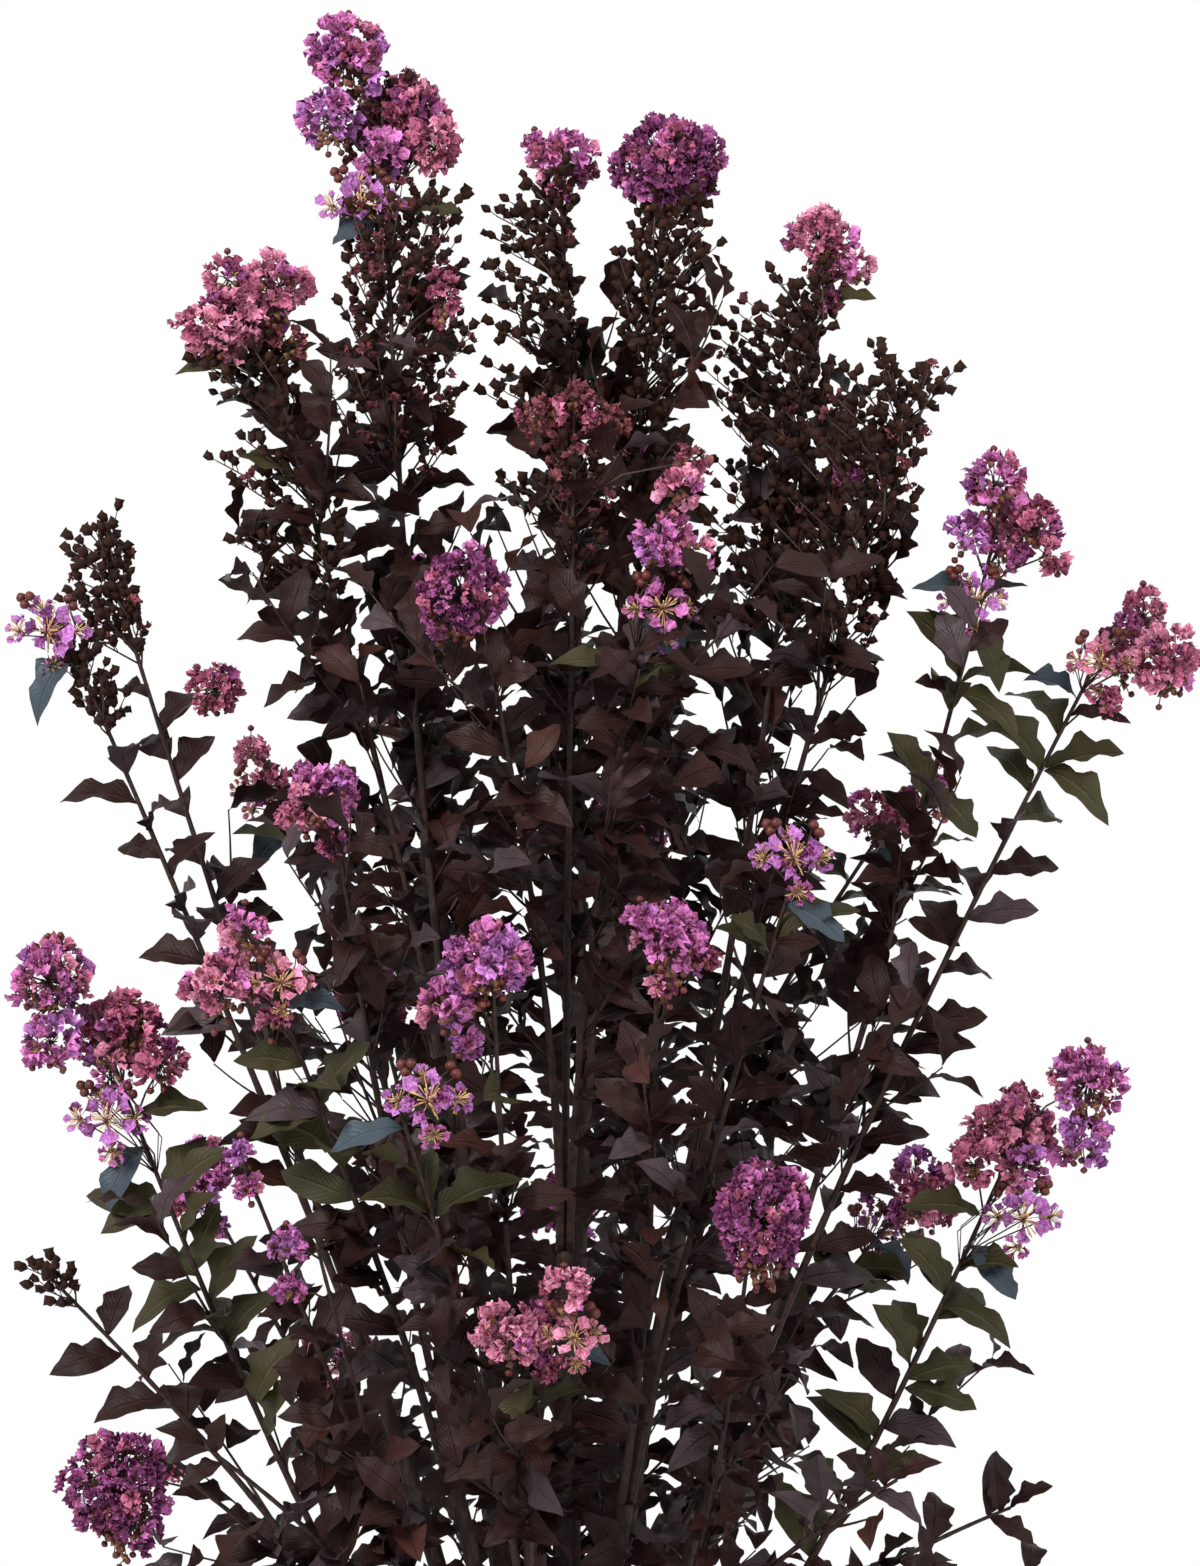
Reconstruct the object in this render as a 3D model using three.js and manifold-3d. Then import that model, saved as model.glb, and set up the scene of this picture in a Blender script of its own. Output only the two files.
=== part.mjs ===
// A dark-leaved crape myrtle grown as a many-stemmed shrub. Canes rise from one woody root crown, each cane
// forks into leafy shoots, and most shoots end in a crinkled flower head above a spire of seed capsules.
// Millimetres and degrees, +Z up. The origin is the centre of the flat cut under the root crown, at ground
// level.
import * as THREE from "three";
import { mergeVertices } from "three/addons/utils/BufferGeometryUtils.js";
import Module from "manifold-3d";

// ---- Driving dimensions

const CLEARANCE = 0.3; // gap where a limb meets the one that carries it
const FINEST = 0.05; // detail under this size is smoothed away where pieces are joined

const ROOT_CROWN = {
  height: 86,
  shoulder: 64, // height at which its rim starts to round in
  rim: 6, // how far the rim rounds in
  waist: 34, // height at which its root flare starts
  waistRadius: 90,
  topRadius: 84,
  groundRadius: 116,
  toe: 12, // height and depth of the flare's edge at the ground
  lobes: 7,
  lobeDepth: 7,
  lobeHeight: 120, // height at which the lobes would fade out
  sides: 28,
};

const CANE = {
  footRadius: 11, // in the root crown
  tipRadius: 7.8, // at the fork
  sides: 6,
  steps: 4,
  sunk: 30, // depth of its foot under the root crown's top
  lean: 0.88, // share of its shoots' own lean that a cane takes up
  bow: 0.27, // place of its middle, as a share of the way from the foot to the fork's offset
};

const STEM = {
  footRadius: 4.4,
  tipRadius: 2.8,
  sides: 3,
  steps: 4,
  forkSpread: 5.4, // from the cane's axis to each shoot's own axis at the fork
  follow: 0.36, // share of its length over which a shoot still follows its cane
};

const TWIG = {
  footShare: 0.5, // its radius at the foot, as a share of the stem's there
  tipRadius: 1.4,
  sides: 3,
  steps: 2,
  pitch: 230, // length of stem to each side twig
  longest: 240,
  shortest: 95,
  splay: 43, // angle off the stem
  turn: 137.5, // from one side twig to the next, round the stem
  bareShare: 0.2, // share of the stem that has no side twigs or leaves at its foot
  places: [0.2, 0.7], // the range of its place in its own stretch of stem
  lengths: [0.85, 1.25], // the range of its length, against the rule's
  straight: 0.4, // share of its length before it bends up
  rise: 0.25, // share of its length that goes along the stem's direction
};

const LEAF = {
  length: 106,
  shortest: 64,
  width: 62, // of a leaf of full length
  thickness: 1.7,
  sunk: 0.2, // how far its base reaches past the twig's axis
  splay: 56, // angle off the twig
  pitch: 60, // length of twig to each leaf
  bareFoot: 48, // length of a side twig that has no leaves at its foot
  lastShare: 0.98, // place of a leaf at a twig's tip, as a share of the twig
  turn: 168, // from one leaf to the next, round the twig
  places: [0, 0.4], // the range of its place in its own stretch of twig
  tilt: 0.6, // how far its face leans from straight up towards the twig's tip
  tipTaper: 0.86, // width at three quarters of the length, against that at one quarter
};

const HEAD = {
  lobes: 3, // round clusters of flowers in each tier
  sidesPerLobe: 2,
  notch: 0.74, // radius between two clusters, against that of a cluster
  tier: 0.55, // height of a tier, as a share of the head's width
  end: 0.34, // radius of the head's top and bottom, as a share of its widest
  uneven: 0.1, // share by which its lumps are larger or smaller
  reach: 0.6, // room kept for it round the stem, as a share of its width
};

const CAPSULE = {
  radius: 11,
  length: 34,
  sides: 3,
  pitch: 17, // height of spire to each capsule
  splay: 46, // angle off the stem
  turn: 137.5, // from one capsule to the next, round the stem
  topShare: 0.5, // reach of the top one, as a share of the lowest one's
};

const SECOND_TURNS = [0, 70, -70, 150]; // tried in turn where a twig or leaf has no room
const CUT_BACK = 0.8; // then it is tried this much smaller

const SPACE_GAP = 3.5; // kept on each side of the border between two foliage masses
const LOWEST_LEAF = 170; // no leaf hangs nearer the ground

// The three rings that the canes stand in, as reaches from the root crown's axis.
const INNER = 18;
const MIDDLE = 42;
const OUTER = 66;

// Each cane, with the height of its fork, its foot's bearing and ring, and its shoots.
// A shoot is [bearing, reach and height of its tip, its flower head's width and height, and its capsule
// spire's width and height].
// Bearings run anticlockwise from +X, seen from above, and reach is from the root crown's axis.
const CANES = {
  tall_left: { fork: 860, foot: [190, INNER], shoots: {
    tall_left: [174, 183, 1997, 158, 235, 140, 120],
    upper_left: [191, 326, 1750, 128, 120, 90, 80] } },
  tall_middle: { fork: 900, foot: [80, INNER], shoots: {
    tall_middle: [93, 60, 1878, 80, 75, 90, 180],
    tall_right: [2, 116, 1898, 112, 105, 105, 180] } },
  right: { fork: 820, foot: [0, INNER], shoots: {
    right_spire: [8, 271, 1803, 90, 110, 110, 150],
    right_capsules: [350, 352, 1595, 0, 0, 165, 200] } },
  right_outer: { fork: 600, foot: [8, MIDDLE], shoots: {
    right_outer: [4, 588, 1425, 112, 150, 0, 0],
    right_upper: [353, 456, 1553, 118, 180, 0, 0] } },
  right_low: { fork: 320, foot: [350, OUTER], shoots: {
    right_low: [349, 501, 968, 128, 225, 0, 0],
    right_lowest: [2, 452, 490, 0, 0, 0, 0] } },
  front_right_low: { fork: 330, foot: [308, OUTER], shoots: {
    front_right_low: [295, 440, 875, 100, 130, 0, 0],
    front_right_lowest: [318, 430, 560, 0, 0, 0, 0] } },
  front_right: { fork: 520, foot: [288, MIDDLE], shoots: {
    front_right: [302, 446, 1187, 92, 88, 0, 0],
    front_middle: [282, 439, 1115, 104, 110, 0, 0] } },
  front_high: { fork: 760, foot: [268, INNER], shoots: {
    front_high_left: [254, 312, 1443, 96, 96, 0, 0],
    front_high_right: [291, 300, 1522, 86, 172, 0, 0],
    front_crown: [276, 152, 1652, 126, 110, 70, 60] } },
  front_low: { fork: 370, foot: [264, OUTER], shoots: {
    front_low: [271, 500, 797, 118, 148, 0, 0],
    front_waist: [262, 436, 1092, 118, 136, 0, 0],
    front_lower_left: [252, 505, 968, 84, 88, 0, 0] } },
  front_left_low: { fork: 310, foot: [225, OUTER], shoots: {
    front_left_low: [230, 469, 890, 52, 72, 0, 0],
    front_left_lower: [241, 469, 821, 52, 98, 0, 0],
    front_left_lowest: [219, 430, 590, 0, 0, 0, 0] } },
  front_left: { fork: 540, foot: [243, MIDDLE], shoots: {
    front_left: [237, 395, 1248, 92, 96, 0, 0],
    left_waist: [227, 441, 1112, 112, 142, 0, 0] } },
  left_low: { fork: 330, foot: [188, OUTER], shoots: {
    left_low: [192, 494, 1068, 160, 225, 0, 0],
    left_lower: [185, 511, 731, 0, 0, 44, 50],
    left_lowest: [200, 448, 585, 100, 128, 0, 0] } },
  left_outer: { fork: 640, foot: [172, MIDDLE], shoots: {
    left_outer: [186, 512, 1413, 84, 82, 60, 90],
    left_capsules: [177, 459, 1452, 0, 0, 96, 130] } },
  back_left_low: { fork: 330, foot: [132, OUTER], shoots: {
    back_left_low: [146, 500, 850, 100, 120, 0, 0],
    back_left_lowest: [118, 530, 620, 90, 100, 0, 0] } },
  back_left: { fork: 600, foot: [118, MIDDLE], shoots: {
    back_left: [136, 455, 1280, 104, 120, 0, 0],
    back_left_waist: [115, 515, 1020, 96, 100, 0, 0],
    back_left_high: [113, 388, 1480, 90, 110, 80, 110] } },
  back_right_low: { fork: 330, foot: [62, OUTER], shoots: {
    back_right_low: [39, 530, 820, 110, 125, 0, 0],
    back_right_lowest: [66, 520, 610, 0, 0, 50, 60],
    back_low: [92, 545, 790, 96, 100, 0, 0] } },
  back_right: { fork: 620, foot: [50, MIDDLE], shoots: {
    back_right: [37, 500, 1250, 110, 130, 0, 0],
    back_waist: [82, 480, 1215, 100, 110, 0, 0],
    back_crown: [72, 330, 1590, 84, 96, 84, 120] } },
};

const FINISHES = {
  bark: { color: 0x6b5548, roughness: 0.8, metalness: 0 },
  foliage: { color: 0x2f2226, roughness: 0.55, metalness: 0 },
};

// ---- Places and chances

const wasm = await Module();
wasm.setup();

const UP = new THREE.Vector3(0, 0, 1);
const ASIDE = new THREE.Vector3(1, 0, 0);
const degrees = THREE.MathUtils.degToRad;
const place = (bearing, reach, height) =>
  new THREE.Vector3(reach * Math.cos(degrees(bearing)), reach * Math.sin(degrees(bearing)), height);
const along = (point, direction, length) => point.clone().addScaledVector(direction, length);

// A number from 0 to 1 that depends only on its keys: the shoot's number, the number of the piece on it, and
// what the chance is for. So a shoot is the same whatever grows beside it.
function chance(shoot, piece, use) {
  const wave = Math.sin(shoot * 12.9898 + piece * 78.233 + use * 37.719) * 43758.5453;
  return wave - Math.floor(wave);
}

const within = ([low, high], share) => low + (high - low) * share;

// The part of a vector that is square to a direction, as a unit vector.
const squareTo = (vector, direction) => along(vector, direction, -vector.dot(direction)).normalize();

// A direction at an angle off an axis, turned round it from the +X side.
function splayed(axis, turn, splay) {
  const out = squareTo(ASIDE, axis).applyAxisAngle(axis, degrees(turn));
  return along(axis.clone().multiplyScalar(Math.cos(degrees(splay))), out, Math.sin(degrees(splay)));
}

// ---- Solids

function solidOf(geometry) {
  geometry.deleteAttribute("normal");
  geometry.deleteAttribute("uv");
  const merged = mergeVertices(geometry, 1e-4);
  const vertProperties = merged.attributes.position.array;
  const triVerts = new Uint32Array(merged.index.array);
  return new wasm.Manifold(new wasm.Mesh({ numProp: 3, vertProperties, triVerts }));
}

function geometryOf(solid) {
  const { vertProperties, triVerts } = solid.getMesh();
  const geometry = new THREE.BufferGeometry();
  geometry.setAttribute("position", new THREE.BufferAttribute(vertProperties, 3));
  geometry.setIndex(new THREE.BufferAttribute(triVerts, 1));
  geometry.computeVertexNormals();
  return geometry;
}

function meshOf(name, solid, finish) {
  const mesh = new THREE.Mesh(geometryOf(solid), new THREE.MeshStandardMaterial(finish));
  mesh.name = name;
  return mesh;
}

// One node's pieces as one solid, without loose scraps and sealed hollows.
function fused(pieces) {
  const bodies = wasm.Manifold.union(pieces).asOriginal().simplify(FINEST).decompose();
  return bodies.reduce((largest, body) => (body.volume() > largest.volume() ? body : largest));
}

// A cylinder bent onto a curve, its radius given by the share of the way along and the number of the side.
function bentCylinder(curve, sides, steps, radiusAt) {
  const geometry = new THREE.CylinderGeometry(1, 1, 1, sides, steps);
  const points = geometry.attributes.position;
  const start = curve.getTangent(0);
  const reference = squareTo(Math.abs(start.z) > 0.9 ? ASIDE : UP, start);
  for (let i = 0; i < points.count; i++) {
    const share = points.getY(i) + 0.5;
    const turn = Math.atan2(points.getZ(i), points.getX(i)) / (2 * Math.PI);
    const side = Math.round(turn * sides + sides) % sides;
    const axis = curve.getTangent(share);
    const across = squareTo(reference, axis);
    const radius = radiusAt(share, side);
    const point = along(curve.getPoint(share), across, points.getX(i) * radius);
    point.addScaledVector(across.cross(axis), points.getZ(i) * radius);
    points.setXYZ(i, point.x, point.y, point.z);
  }
  return solidOf(geometry);
}

const limb = (curve, { footRadius, tipRadius, sides, steps }) =>
  bentCylinder(curve, sides, steps, (share) => within([footRadius, tipRadius], share));

// A leaf blade: a low six-sided cone drawn out to the leaf's outline, its base just past the twig's axis.
function leafBlade(foot, axis, across, face, size) {
  const geometry = new THREE.ConeGeometry(1, LEAF.thickness, 6);
  const points = geometry.attributes.position;
  for (let i = 0; i < points.count; i++) {
    const front = points.getZ(i) > 0.1 ? LEAF.tipTaper : 1;
    const out = ((points.getZ(i) + 1) / 2) * size * LEAF.length - LEAF.sunk;
    const sideways = (points.getX(i) / Math.cos(Math.PI / 6)) * size * (LEAF.width / 2) * front;
    const point = along(along(foot, axis, out), across, sideways).addScaledVector(face, points.getY(i));
    points.setXYZ(i, point.x, point.y, point.z);
  }
  return solidOf(geometry);
}

// A flower head: tiers of round clusters about the end of the stem, each tier turned by half a cluster.
function flowerHead({ curve, length, number, bloomWidth, bloomHeight }) {
  const tiers = Math.max(2, Math.round(bloomHeight / (HEAD.tier * bloomWidth)));
  const steps = tiers + 1;
  const foot = 1 - bloomHeight / length;
  const points = Array.from({ length: steps + 1 }, (_, i) => curve.getPointAt(within([foot, 1], i / steps)));
  const radiusAt = (share, side) => {
    const tier = Math.round(share * steps);
    const notched = (side + tier) % HEAD.sidesPerLobe === 0;
    const lumps = 1 + HEAD.uneven * (2 * chance(number, tier * 20 + side, 6) - 1);
    const end = tier === 0 || tier === steps ? HEAD.end : 1;
    return (bloomWidth / 2) * end * (notched ? HEAD.notch : 1) * lumps;
  };
  return bentCylinder(new THREE.CatmullRomCurve3(points), HEAD.lobes * HEAD.sidesPerLobe, steps, radiusAt);
}

// A seed capsule that tapers back to the stem's axis as its stalk.
function capsuleOnStalk({ foot, tip }) {
  const reach = foot.distanceTo(tip);
  const geometry = new THREE.SphereGeometry(1, CAPSULE.sides, 2);
  const points = geometry.attributes.position;
  const axis = tip.clone().sub(foot).normalize();
  const turned = new THREE.Quaternion().setFromUnitVectors(new THREE.Vector3(0, 1, 0), axis);
  for (let i = 0; i < points.count; i++) {
    const point = new THREE.Vector3().fromBufferAttribute(points, i);
    const out = point.y > 0.5 ? reach : point.y < -0.5 ? 0 : reach - CAPSULE.length / 2;
    point.set(point.x * CAPSULE.radius, out, point.z * CAPSULE.radius).applyQuaternion(turned).add(foot);
    points.setXYZ(i, point.x, point.y, point.z);
  }
  return solidOf(geometry);
}

// ---- The plan of limbs

const canes = Object.entries(CANES).map(([name, { fork, foot: [footBearing, ring], shoots }]) => {
  const tips = Object.values(shoots).map(([bearing, reach, height]) => place(bearing, reach, height));
  const middle = tips.reduce((sum, tip) => sum.add(tip), new THREE.Vector3()).divideScalar(tips.length);
  const end = middle.clone().multiplyScalar((fork / middle.z) * CANE.lean).setZ(fork);
  const foot = place(footBearing, ring, ROOT_CROWN.height - CANE.sunk);
  const bend = foot.clone().lerp(end, CANE.bow).setZ((foot.z + end.z) / 2);
  const curve = new THREE.QuadraticBezierCurve3(foot, bend, end);
  return { name, curve, end, axis: curve.getTangent(1), middle, tips, shoots };
});

// The first stretch of a curve as straight pieces of like length, which is how limbs are built. It keeps the
// curve's own directions, so that its ends stay square to the curve.
class JointedPath extends THREE.CurvePath {
  constructor(curve, steps, stretch = 1) {
    super();
    this.directionAt = (share) => curve.getTangentAt(share * stretch);
    const nodes = Array.from({ length: steps + 1 }, (_, i) => curve.getPointAt((i / steps) * stretch));
    nodes.slice(1).forEach((node, i) => this.add(new THREE.LineCurve3(nodes[i], node)));
  }

  getTangent(share) {
    return this.directionAt(share);
  }
}

// The stem of one of a cane's shoots. They stand evenly round the cane's tip and bend over to their own tips.
function stemOf({ axis, end, middle, tips }, i) {
  const sides = tips.map((tip) => squareTo(tip.clone().sub(middle), axis));
  const way = sides[0].clone().cross(sides[i]).dot(axis) < 0 ? -1 : 1;
  const sideways = sides[0].clone().applyAxisAngle(axis, i ? degrees((way * 360) / tips.length) : 0);
  const foot = along(along(end, sideways, STEM.forkSpread), axis, CLEARANCE);
  const bend = along(foot, axis, foot.distanceTo(tips[i]) * STEM.follow);
  return new THREE.QuadraticBezierCurve3(foot, bend, tips[i]);
}

const shoots = canes.flatMap((cane) =>
  Object.entries(cane.shoots).map(([name, [, , , bloomWidth, bloomHeight, spireWidth, spireHeight]], i) => {
    const curve = stemOf(cane, i);
    const length = curve.getLength();
    const stem = new JointedPath(curve, STEM.steps, 1 - bloomHeight / 2 / length); // ends inside the flowers
    const leafyLength = length - bloomHeight - spireHeight;
    return { name, curve, length, stem, leafyLength, bloomWidth, bloomHeight, spireWidth, spireHeight };
  }),
);
shoots.forEach((shoot, i) => (shoot.number = i + 1));

// ---- The space that each mass keeps to

const linesOf = (path) => path.curves.map(({ v1, v2 }) => new THREE.Line3(v1, v2));
const stemLines = shoots.map(({ curve }) => linesOf(new JointedPath(curve, STEM.steps)));
const caneLines = canes.map(({ curve }) => linesOf(new JointedPath(curve, CANE.steps)));
const nearest = new THREE.Vector3();
const distanceTo = (lines, point) =>
  Math.min(...lines.map((line) => line.closestPointToPoint(point, true, nearest).distanceTo(point)));

const headOf = ({ curve, length, number, bloomWidth, bloomHeight }) => ({
  number,
  lines: [new THREE.Line3(curve.getPointAt(1 - bloomHeight / length), curve.getPoint(1))],
  radius: HEAD.reach * bloomWidth,
});
const heads = shoots.filter(({ bloomWidth }) => bloomWidth).map(headOf);

// A point is in a mass's space if its own stem is the nearest one and no cane or other flower head is near.
function inSpace(point, number) {
  const own = distanceTo(stemLines[number - 1], point) + 2 * SPACE_GAP;
  return (
    point.z > LOWEST_LEAF &&
    stemLines.every((lines, i) => i === number - 1 || distanceTo(lines, point) > own) &&
    caneLines.every((lines) => distanceTo(lines, point) > CANE.footRadius + SPACE_GAP) &&
    heads.every((head) => head.number === number || distanceTo(head.lines, point) > head.radius)
  );
}

// ---- What grows on a shoot

// Adds the first of a growth's tries that keeps to its space and touches no other piece than its carrier.
function grow(pieces, carrier, tries) {
  for (const attempt of tries) {
    if (!attempt.samples.every((point) => inSpace(point, attempt.number))) continue;
    const solid = attempt.solid();
    if (pieces.some((piece) => piece !== carrier && !piece.intersect(solid).isEmpty())) continue;
    pieces.push(solid);
    return { ...attempt, solid };
  }
}

// Side twigs, spiralling up the stem and shorter towards its tip. One with no room is turned or cut back.
function growTwigs(pieces, carrier, { stem, length, leafyLength, number }) {
  const bare = length * TWIG.bareShare;
  const count = Math.round((leafyLength - bare) / TWIG.pitch);
  const twigs = [];
  for (let i = 0; i < count; i++) {
    const up = within([bare, leafyLength], (i + within(TWIG.places, chance(number, i, 1))) / count);
    const turn = 360 * chance(number, 0, 2) + i * TWIG.turn;
    const uneven = within(TWIG.lengths, chance(number, i, 3));
    const longest = within([TWIG.longest, TWIG.shortest], up / length) * uneven;
    const tries = [];
    for (let reach = longest; reach > TWIG.shortest; reach *= CUT_BACK) {
      tries.push(...SECOND_TURNS.map((second) => twigAt(stem, number, up, turn + second, reach)));
    }
    twigs.push(grow(pieces, carrier, tries));
  }
  return twigs.filter(Boolean);
}

function twigAt(stem, number, up, turn, reach) {
  const share = up / stem.getLength();
  const foot = stem.getPointAt(share);
  const stemAxis = stem.getTangentAt(share);
  const out = splayed(stemAxis, turn, TWIG.splay);
  const tip = along(along(foot, out, reach * (1 - TWIG.rise)), stemAxis, reach * TWIG.rise);
  const curve = new THREE.QuadraticBezierCurve3(foot, along(foot, out, reach * TWIG.straight), tip);
  const path = new JointedPath(curve, TWIG.steps);
  const footRadius = within([STEM.footRadius, STEM.tipRadius], share) * TWIG.footShare;
  const samples = path.curves.map(({ v2 }) => v2);
  return { number, path, samples, solid: () => limb(path, { ...TWIG, footRadius }) };
}

// Leaves in two loose ranks along a stretch of a twig or stem. One with no room is turned or made smaller.
function growLeaves(pieces, carrier, path, number, twigNumber, from, to) {
  const firstTurn = 360 * chance(number, twigNumber, 4);
  for (let i = 0; from + i * LEAF.pitch < to; i++) {
    const up = from + (i + within(LEAF.places, chance(number, twigNumber * 40 + i, 5))) * LEAF.pitch;
    const share = Math.min(LEAF.lastShare, up / path.getLength());
    const turn = firstTurn + i * LEAF.turn;
    const tries = [];
    for (let size = 1; size * LEAF.length > LEAF.shortest; size *= CUT_BACK) {
      tries.push(...SECOND_TURNS.map((second) => leafAt(path, number, share, turn + second, size)));
    }
    grow(pieces, carrier, tries);
  }
}

// A leaf by its foot, its axis, and the way its upper face looks, which is to the light.
function leafAt(twig, number, share, turn, size) {
  const foot = twig.getPointAt(share);
  const twigAxis = twig.getTangentAt(share);
  const axis = splayed(twigAxis, turn, LEAF.splay);
  const face = squareTo(along(UP, twigAxis, LEAF.tilt), axis);
  const across = face.clone().cross(axis);
  const cornersAt = (out) =>
    [-1, 1].map((way) => along(along(foot, axis, out), across, (way * size * LEAF.width) / 2));
  const length = size * LEAF.length;
  const samples = [along(foot, axis, length), ...cornersAt(length / 4), ...cornersAt((3 * length) / 4)];
  return { number, samples, solid: () => leafBlade(foot, axis, across, face, size) };
}

// The spire's capsules, spiralling down the stem below the flowers on stalks that lengthen downwards.
function capsulesOf({ stem, leafyLength, number, spireWidth, spireHeight }) {
  const count = Math.floor(spireHeight / CAPSULE.pitch);
  const capsules = Array.from({ length: count }, (_, i) => {
    const down = (i + 0.5) / count;
    const share = (leafyLength + (1 - down) * spireHeight) / stem.getLength();
    const turn = 360 * chance(number, 0, 7) + i * CAPSULE.turn;
    const out = splayed(stem.getTangentAt(share), turn, CAPSULE.splay);
    const reach = (spireWidth / 2) * within([CAPSULE.topShare, 1], Math.sqrt(down));
    const foot = stem.getPointAt(share);
    return { foot, tip: along(foot, out, reach / Math.sin(degrees(CAPSULE.splay))) };
  });
  return capsules.filter(({ tip }) => inSpace(tip, number));
}

function foliageMass(shoot) {
  const { stem, length, leafyLength, number } = shoot;
  const carrier = limb(stem, STEM);
  const pieces = [carrier, ...capsulesOf(shoot).map(capsuleOnStalk)];
  if (shoot.bloomWidth) pieces.push(flowerHead(shoot));
  const twigs = growTwigs(pieces, carrier, shoot);
  growLeaves(pieces, carrier, stem, number, 0, length * TWIG.bareShare, leafyLength);
  twigs.forEach(({ solid, path }, i) => {
    growLeaves(pieces, solid, path, number, i + 1, LEAF.bareFoot, path.getLength());
  });
  return fused(pieces);
}

// ---- The root crown

// A round woody base with a lobed root flare, flat underneath.
function rootCrownSolid() {
  const { height, shoulder, rim, waist, waistRadius, topRadius, groundRadius, toe } = ROOT_CROWN;
  const profile = [
    new THREE.Vector2(0, 0),
    new THREE.Vector2(groundRadius, 0),
    new THREE.Vector2(groundRadius - toe, toe),
    new THREE.Vector2(waistRadius, waist),
    new THREE.Vector2(topRadius, shoulder),
    new THREE.Vector2(topRadius - rim, height),
    new THREE.Vector2(0, height),
  ];
  const geometry = new THREE.LatheGeometry(profile, ROOT_CROWN.sides).rotateX(Math.PI / 2);
  const points = geometry.attributes.position;
  for (let i = 0; i < points.count; i++) {
    const point = new THREE.Vector3().fromBufferAttribute(points, i);
    const radius = Math.hypot(point.x, point.y);
    const lobe = Math.cos(ROOT_CROWN.lobes * Math.atan2(point.y, point.x)) * ROOT_CROWN.lobeDepth;
    const share = radius < 1 ? 0 : (lobe / radius) * (1 - point.z / ROOT_CROWN.lobeHeight);
    points.setXY(i, point.x * (1 + share), point.y * (1 + share));
  }
  return solidOf(geometry);
}

// ---- Assembly

const shrub = new THREE.Group();
const rootCrown = rootCrownSolid();
shrub.add(meshOf("root_crown", rootCrown, FINISHES.bark));

const widened = 1 + CLEARANCE / ROOT_CROWN.topRadius;
const raised = 1 + CLEARANCE / ROOT_CROWN.height;
const rootCrownWithGap = solidOf(geometryOf(rootCrown).scale(widened, widened, raised));
for (const { name, curve } of canes) {
  const cane = limb(new JointedPath(curve, CANE.steps), CANE).subtract(rootCrownWithGap);
  shrub.add(meshOf(`cane_${name}`, fused([cane]), FINISHES.bark));
}
for (const shoot of shoots) {
  shrub.add(meshOf(`foliage_${shoot.name}`, foliageMass(shoot), FINISHES.foliage));
}

export default shrub;
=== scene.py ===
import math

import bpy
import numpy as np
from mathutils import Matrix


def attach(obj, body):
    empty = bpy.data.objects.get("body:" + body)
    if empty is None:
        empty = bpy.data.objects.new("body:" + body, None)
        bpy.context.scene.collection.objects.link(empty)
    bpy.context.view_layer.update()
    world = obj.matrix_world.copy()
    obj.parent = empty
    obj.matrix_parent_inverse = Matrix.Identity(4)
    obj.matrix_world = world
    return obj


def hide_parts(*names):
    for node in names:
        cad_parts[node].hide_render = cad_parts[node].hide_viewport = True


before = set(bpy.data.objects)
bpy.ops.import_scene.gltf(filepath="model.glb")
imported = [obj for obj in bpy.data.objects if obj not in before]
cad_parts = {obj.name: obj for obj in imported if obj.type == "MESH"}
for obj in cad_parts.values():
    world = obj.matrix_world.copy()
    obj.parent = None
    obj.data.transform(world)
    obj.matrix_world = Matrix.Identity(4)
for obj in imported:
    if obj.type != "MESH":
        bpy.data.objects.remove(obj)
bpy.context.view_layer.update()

# ---- The studio
# The shrub stands on a pale round floor under an even white sky, with one large soft light in front of it on
# each side. The camera looks level at it from five metres off, and its frame ends above the root crown.

MM = 0.001

FLOOR_RADIUS = 2.5
FLOOR_SIDES = 96
FLOOR_TONES = ((0.80, 0.80, 0.79), (0.84, 0.84, 0.83))
EYE = (0.040, -5.0, 1.217)
LENS = 114.94
SKY = (1.0, 1.0, 1.0, 1.0)
SKY_STRENGTH = 1.0
LIGHTS = {  # place, width and power
    "key_light": ((-2.2, -3.2, 3.8), 1.6, 235.0),
    "fill_light": ((3.2, -2.8, 2.4), 2.2, 60.0),
}
MIDDLE = (0.0, 0.0, 1.1)


def aim(thing, place, target):
    """Stands a camera or light at a place, looking at a target."""
    way = np.subtract(target, place)
    across = math.hypot(way[0], way[1])
    thing.location = place
    thing.rotation_euler = (math.atan2(across, -way[2]), 0, math.atan2(way[1], way[0]) - math.pi / 2)


def new_object(name, data):
    made = bpy.data.objects.new(name, data)
    bpy.context.scene.collection.objects.link(made)
    return made


camera = new_object("camera", bpy.data.cameras.new("camera"))
camera.data.lens = LENS
aim(camera, EYE, (EYE[0], 0, EYE[2]))
bpy.context.scene.camera = camera

for name, (place, width, power) in LIGHTS.items():
    light = bpy.data.lights.new(name, "AREA")
    light.size = width
    light.energy = power
    aim(new_object(name, light), place, MIDDLE)

world = bpy.data.worlds.new("studio")
world.use_nodes = True
world.node_tree.nodes["Background"].inputs["Color"].default_value = SKY
world.node_tree.nodes["Background"].inputs["Strength"].default_value = SKY_STRENGTH
bpy.context.scene.world = world
bpy.context.scene.view_settings.view_transform = "Standard"


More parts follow.
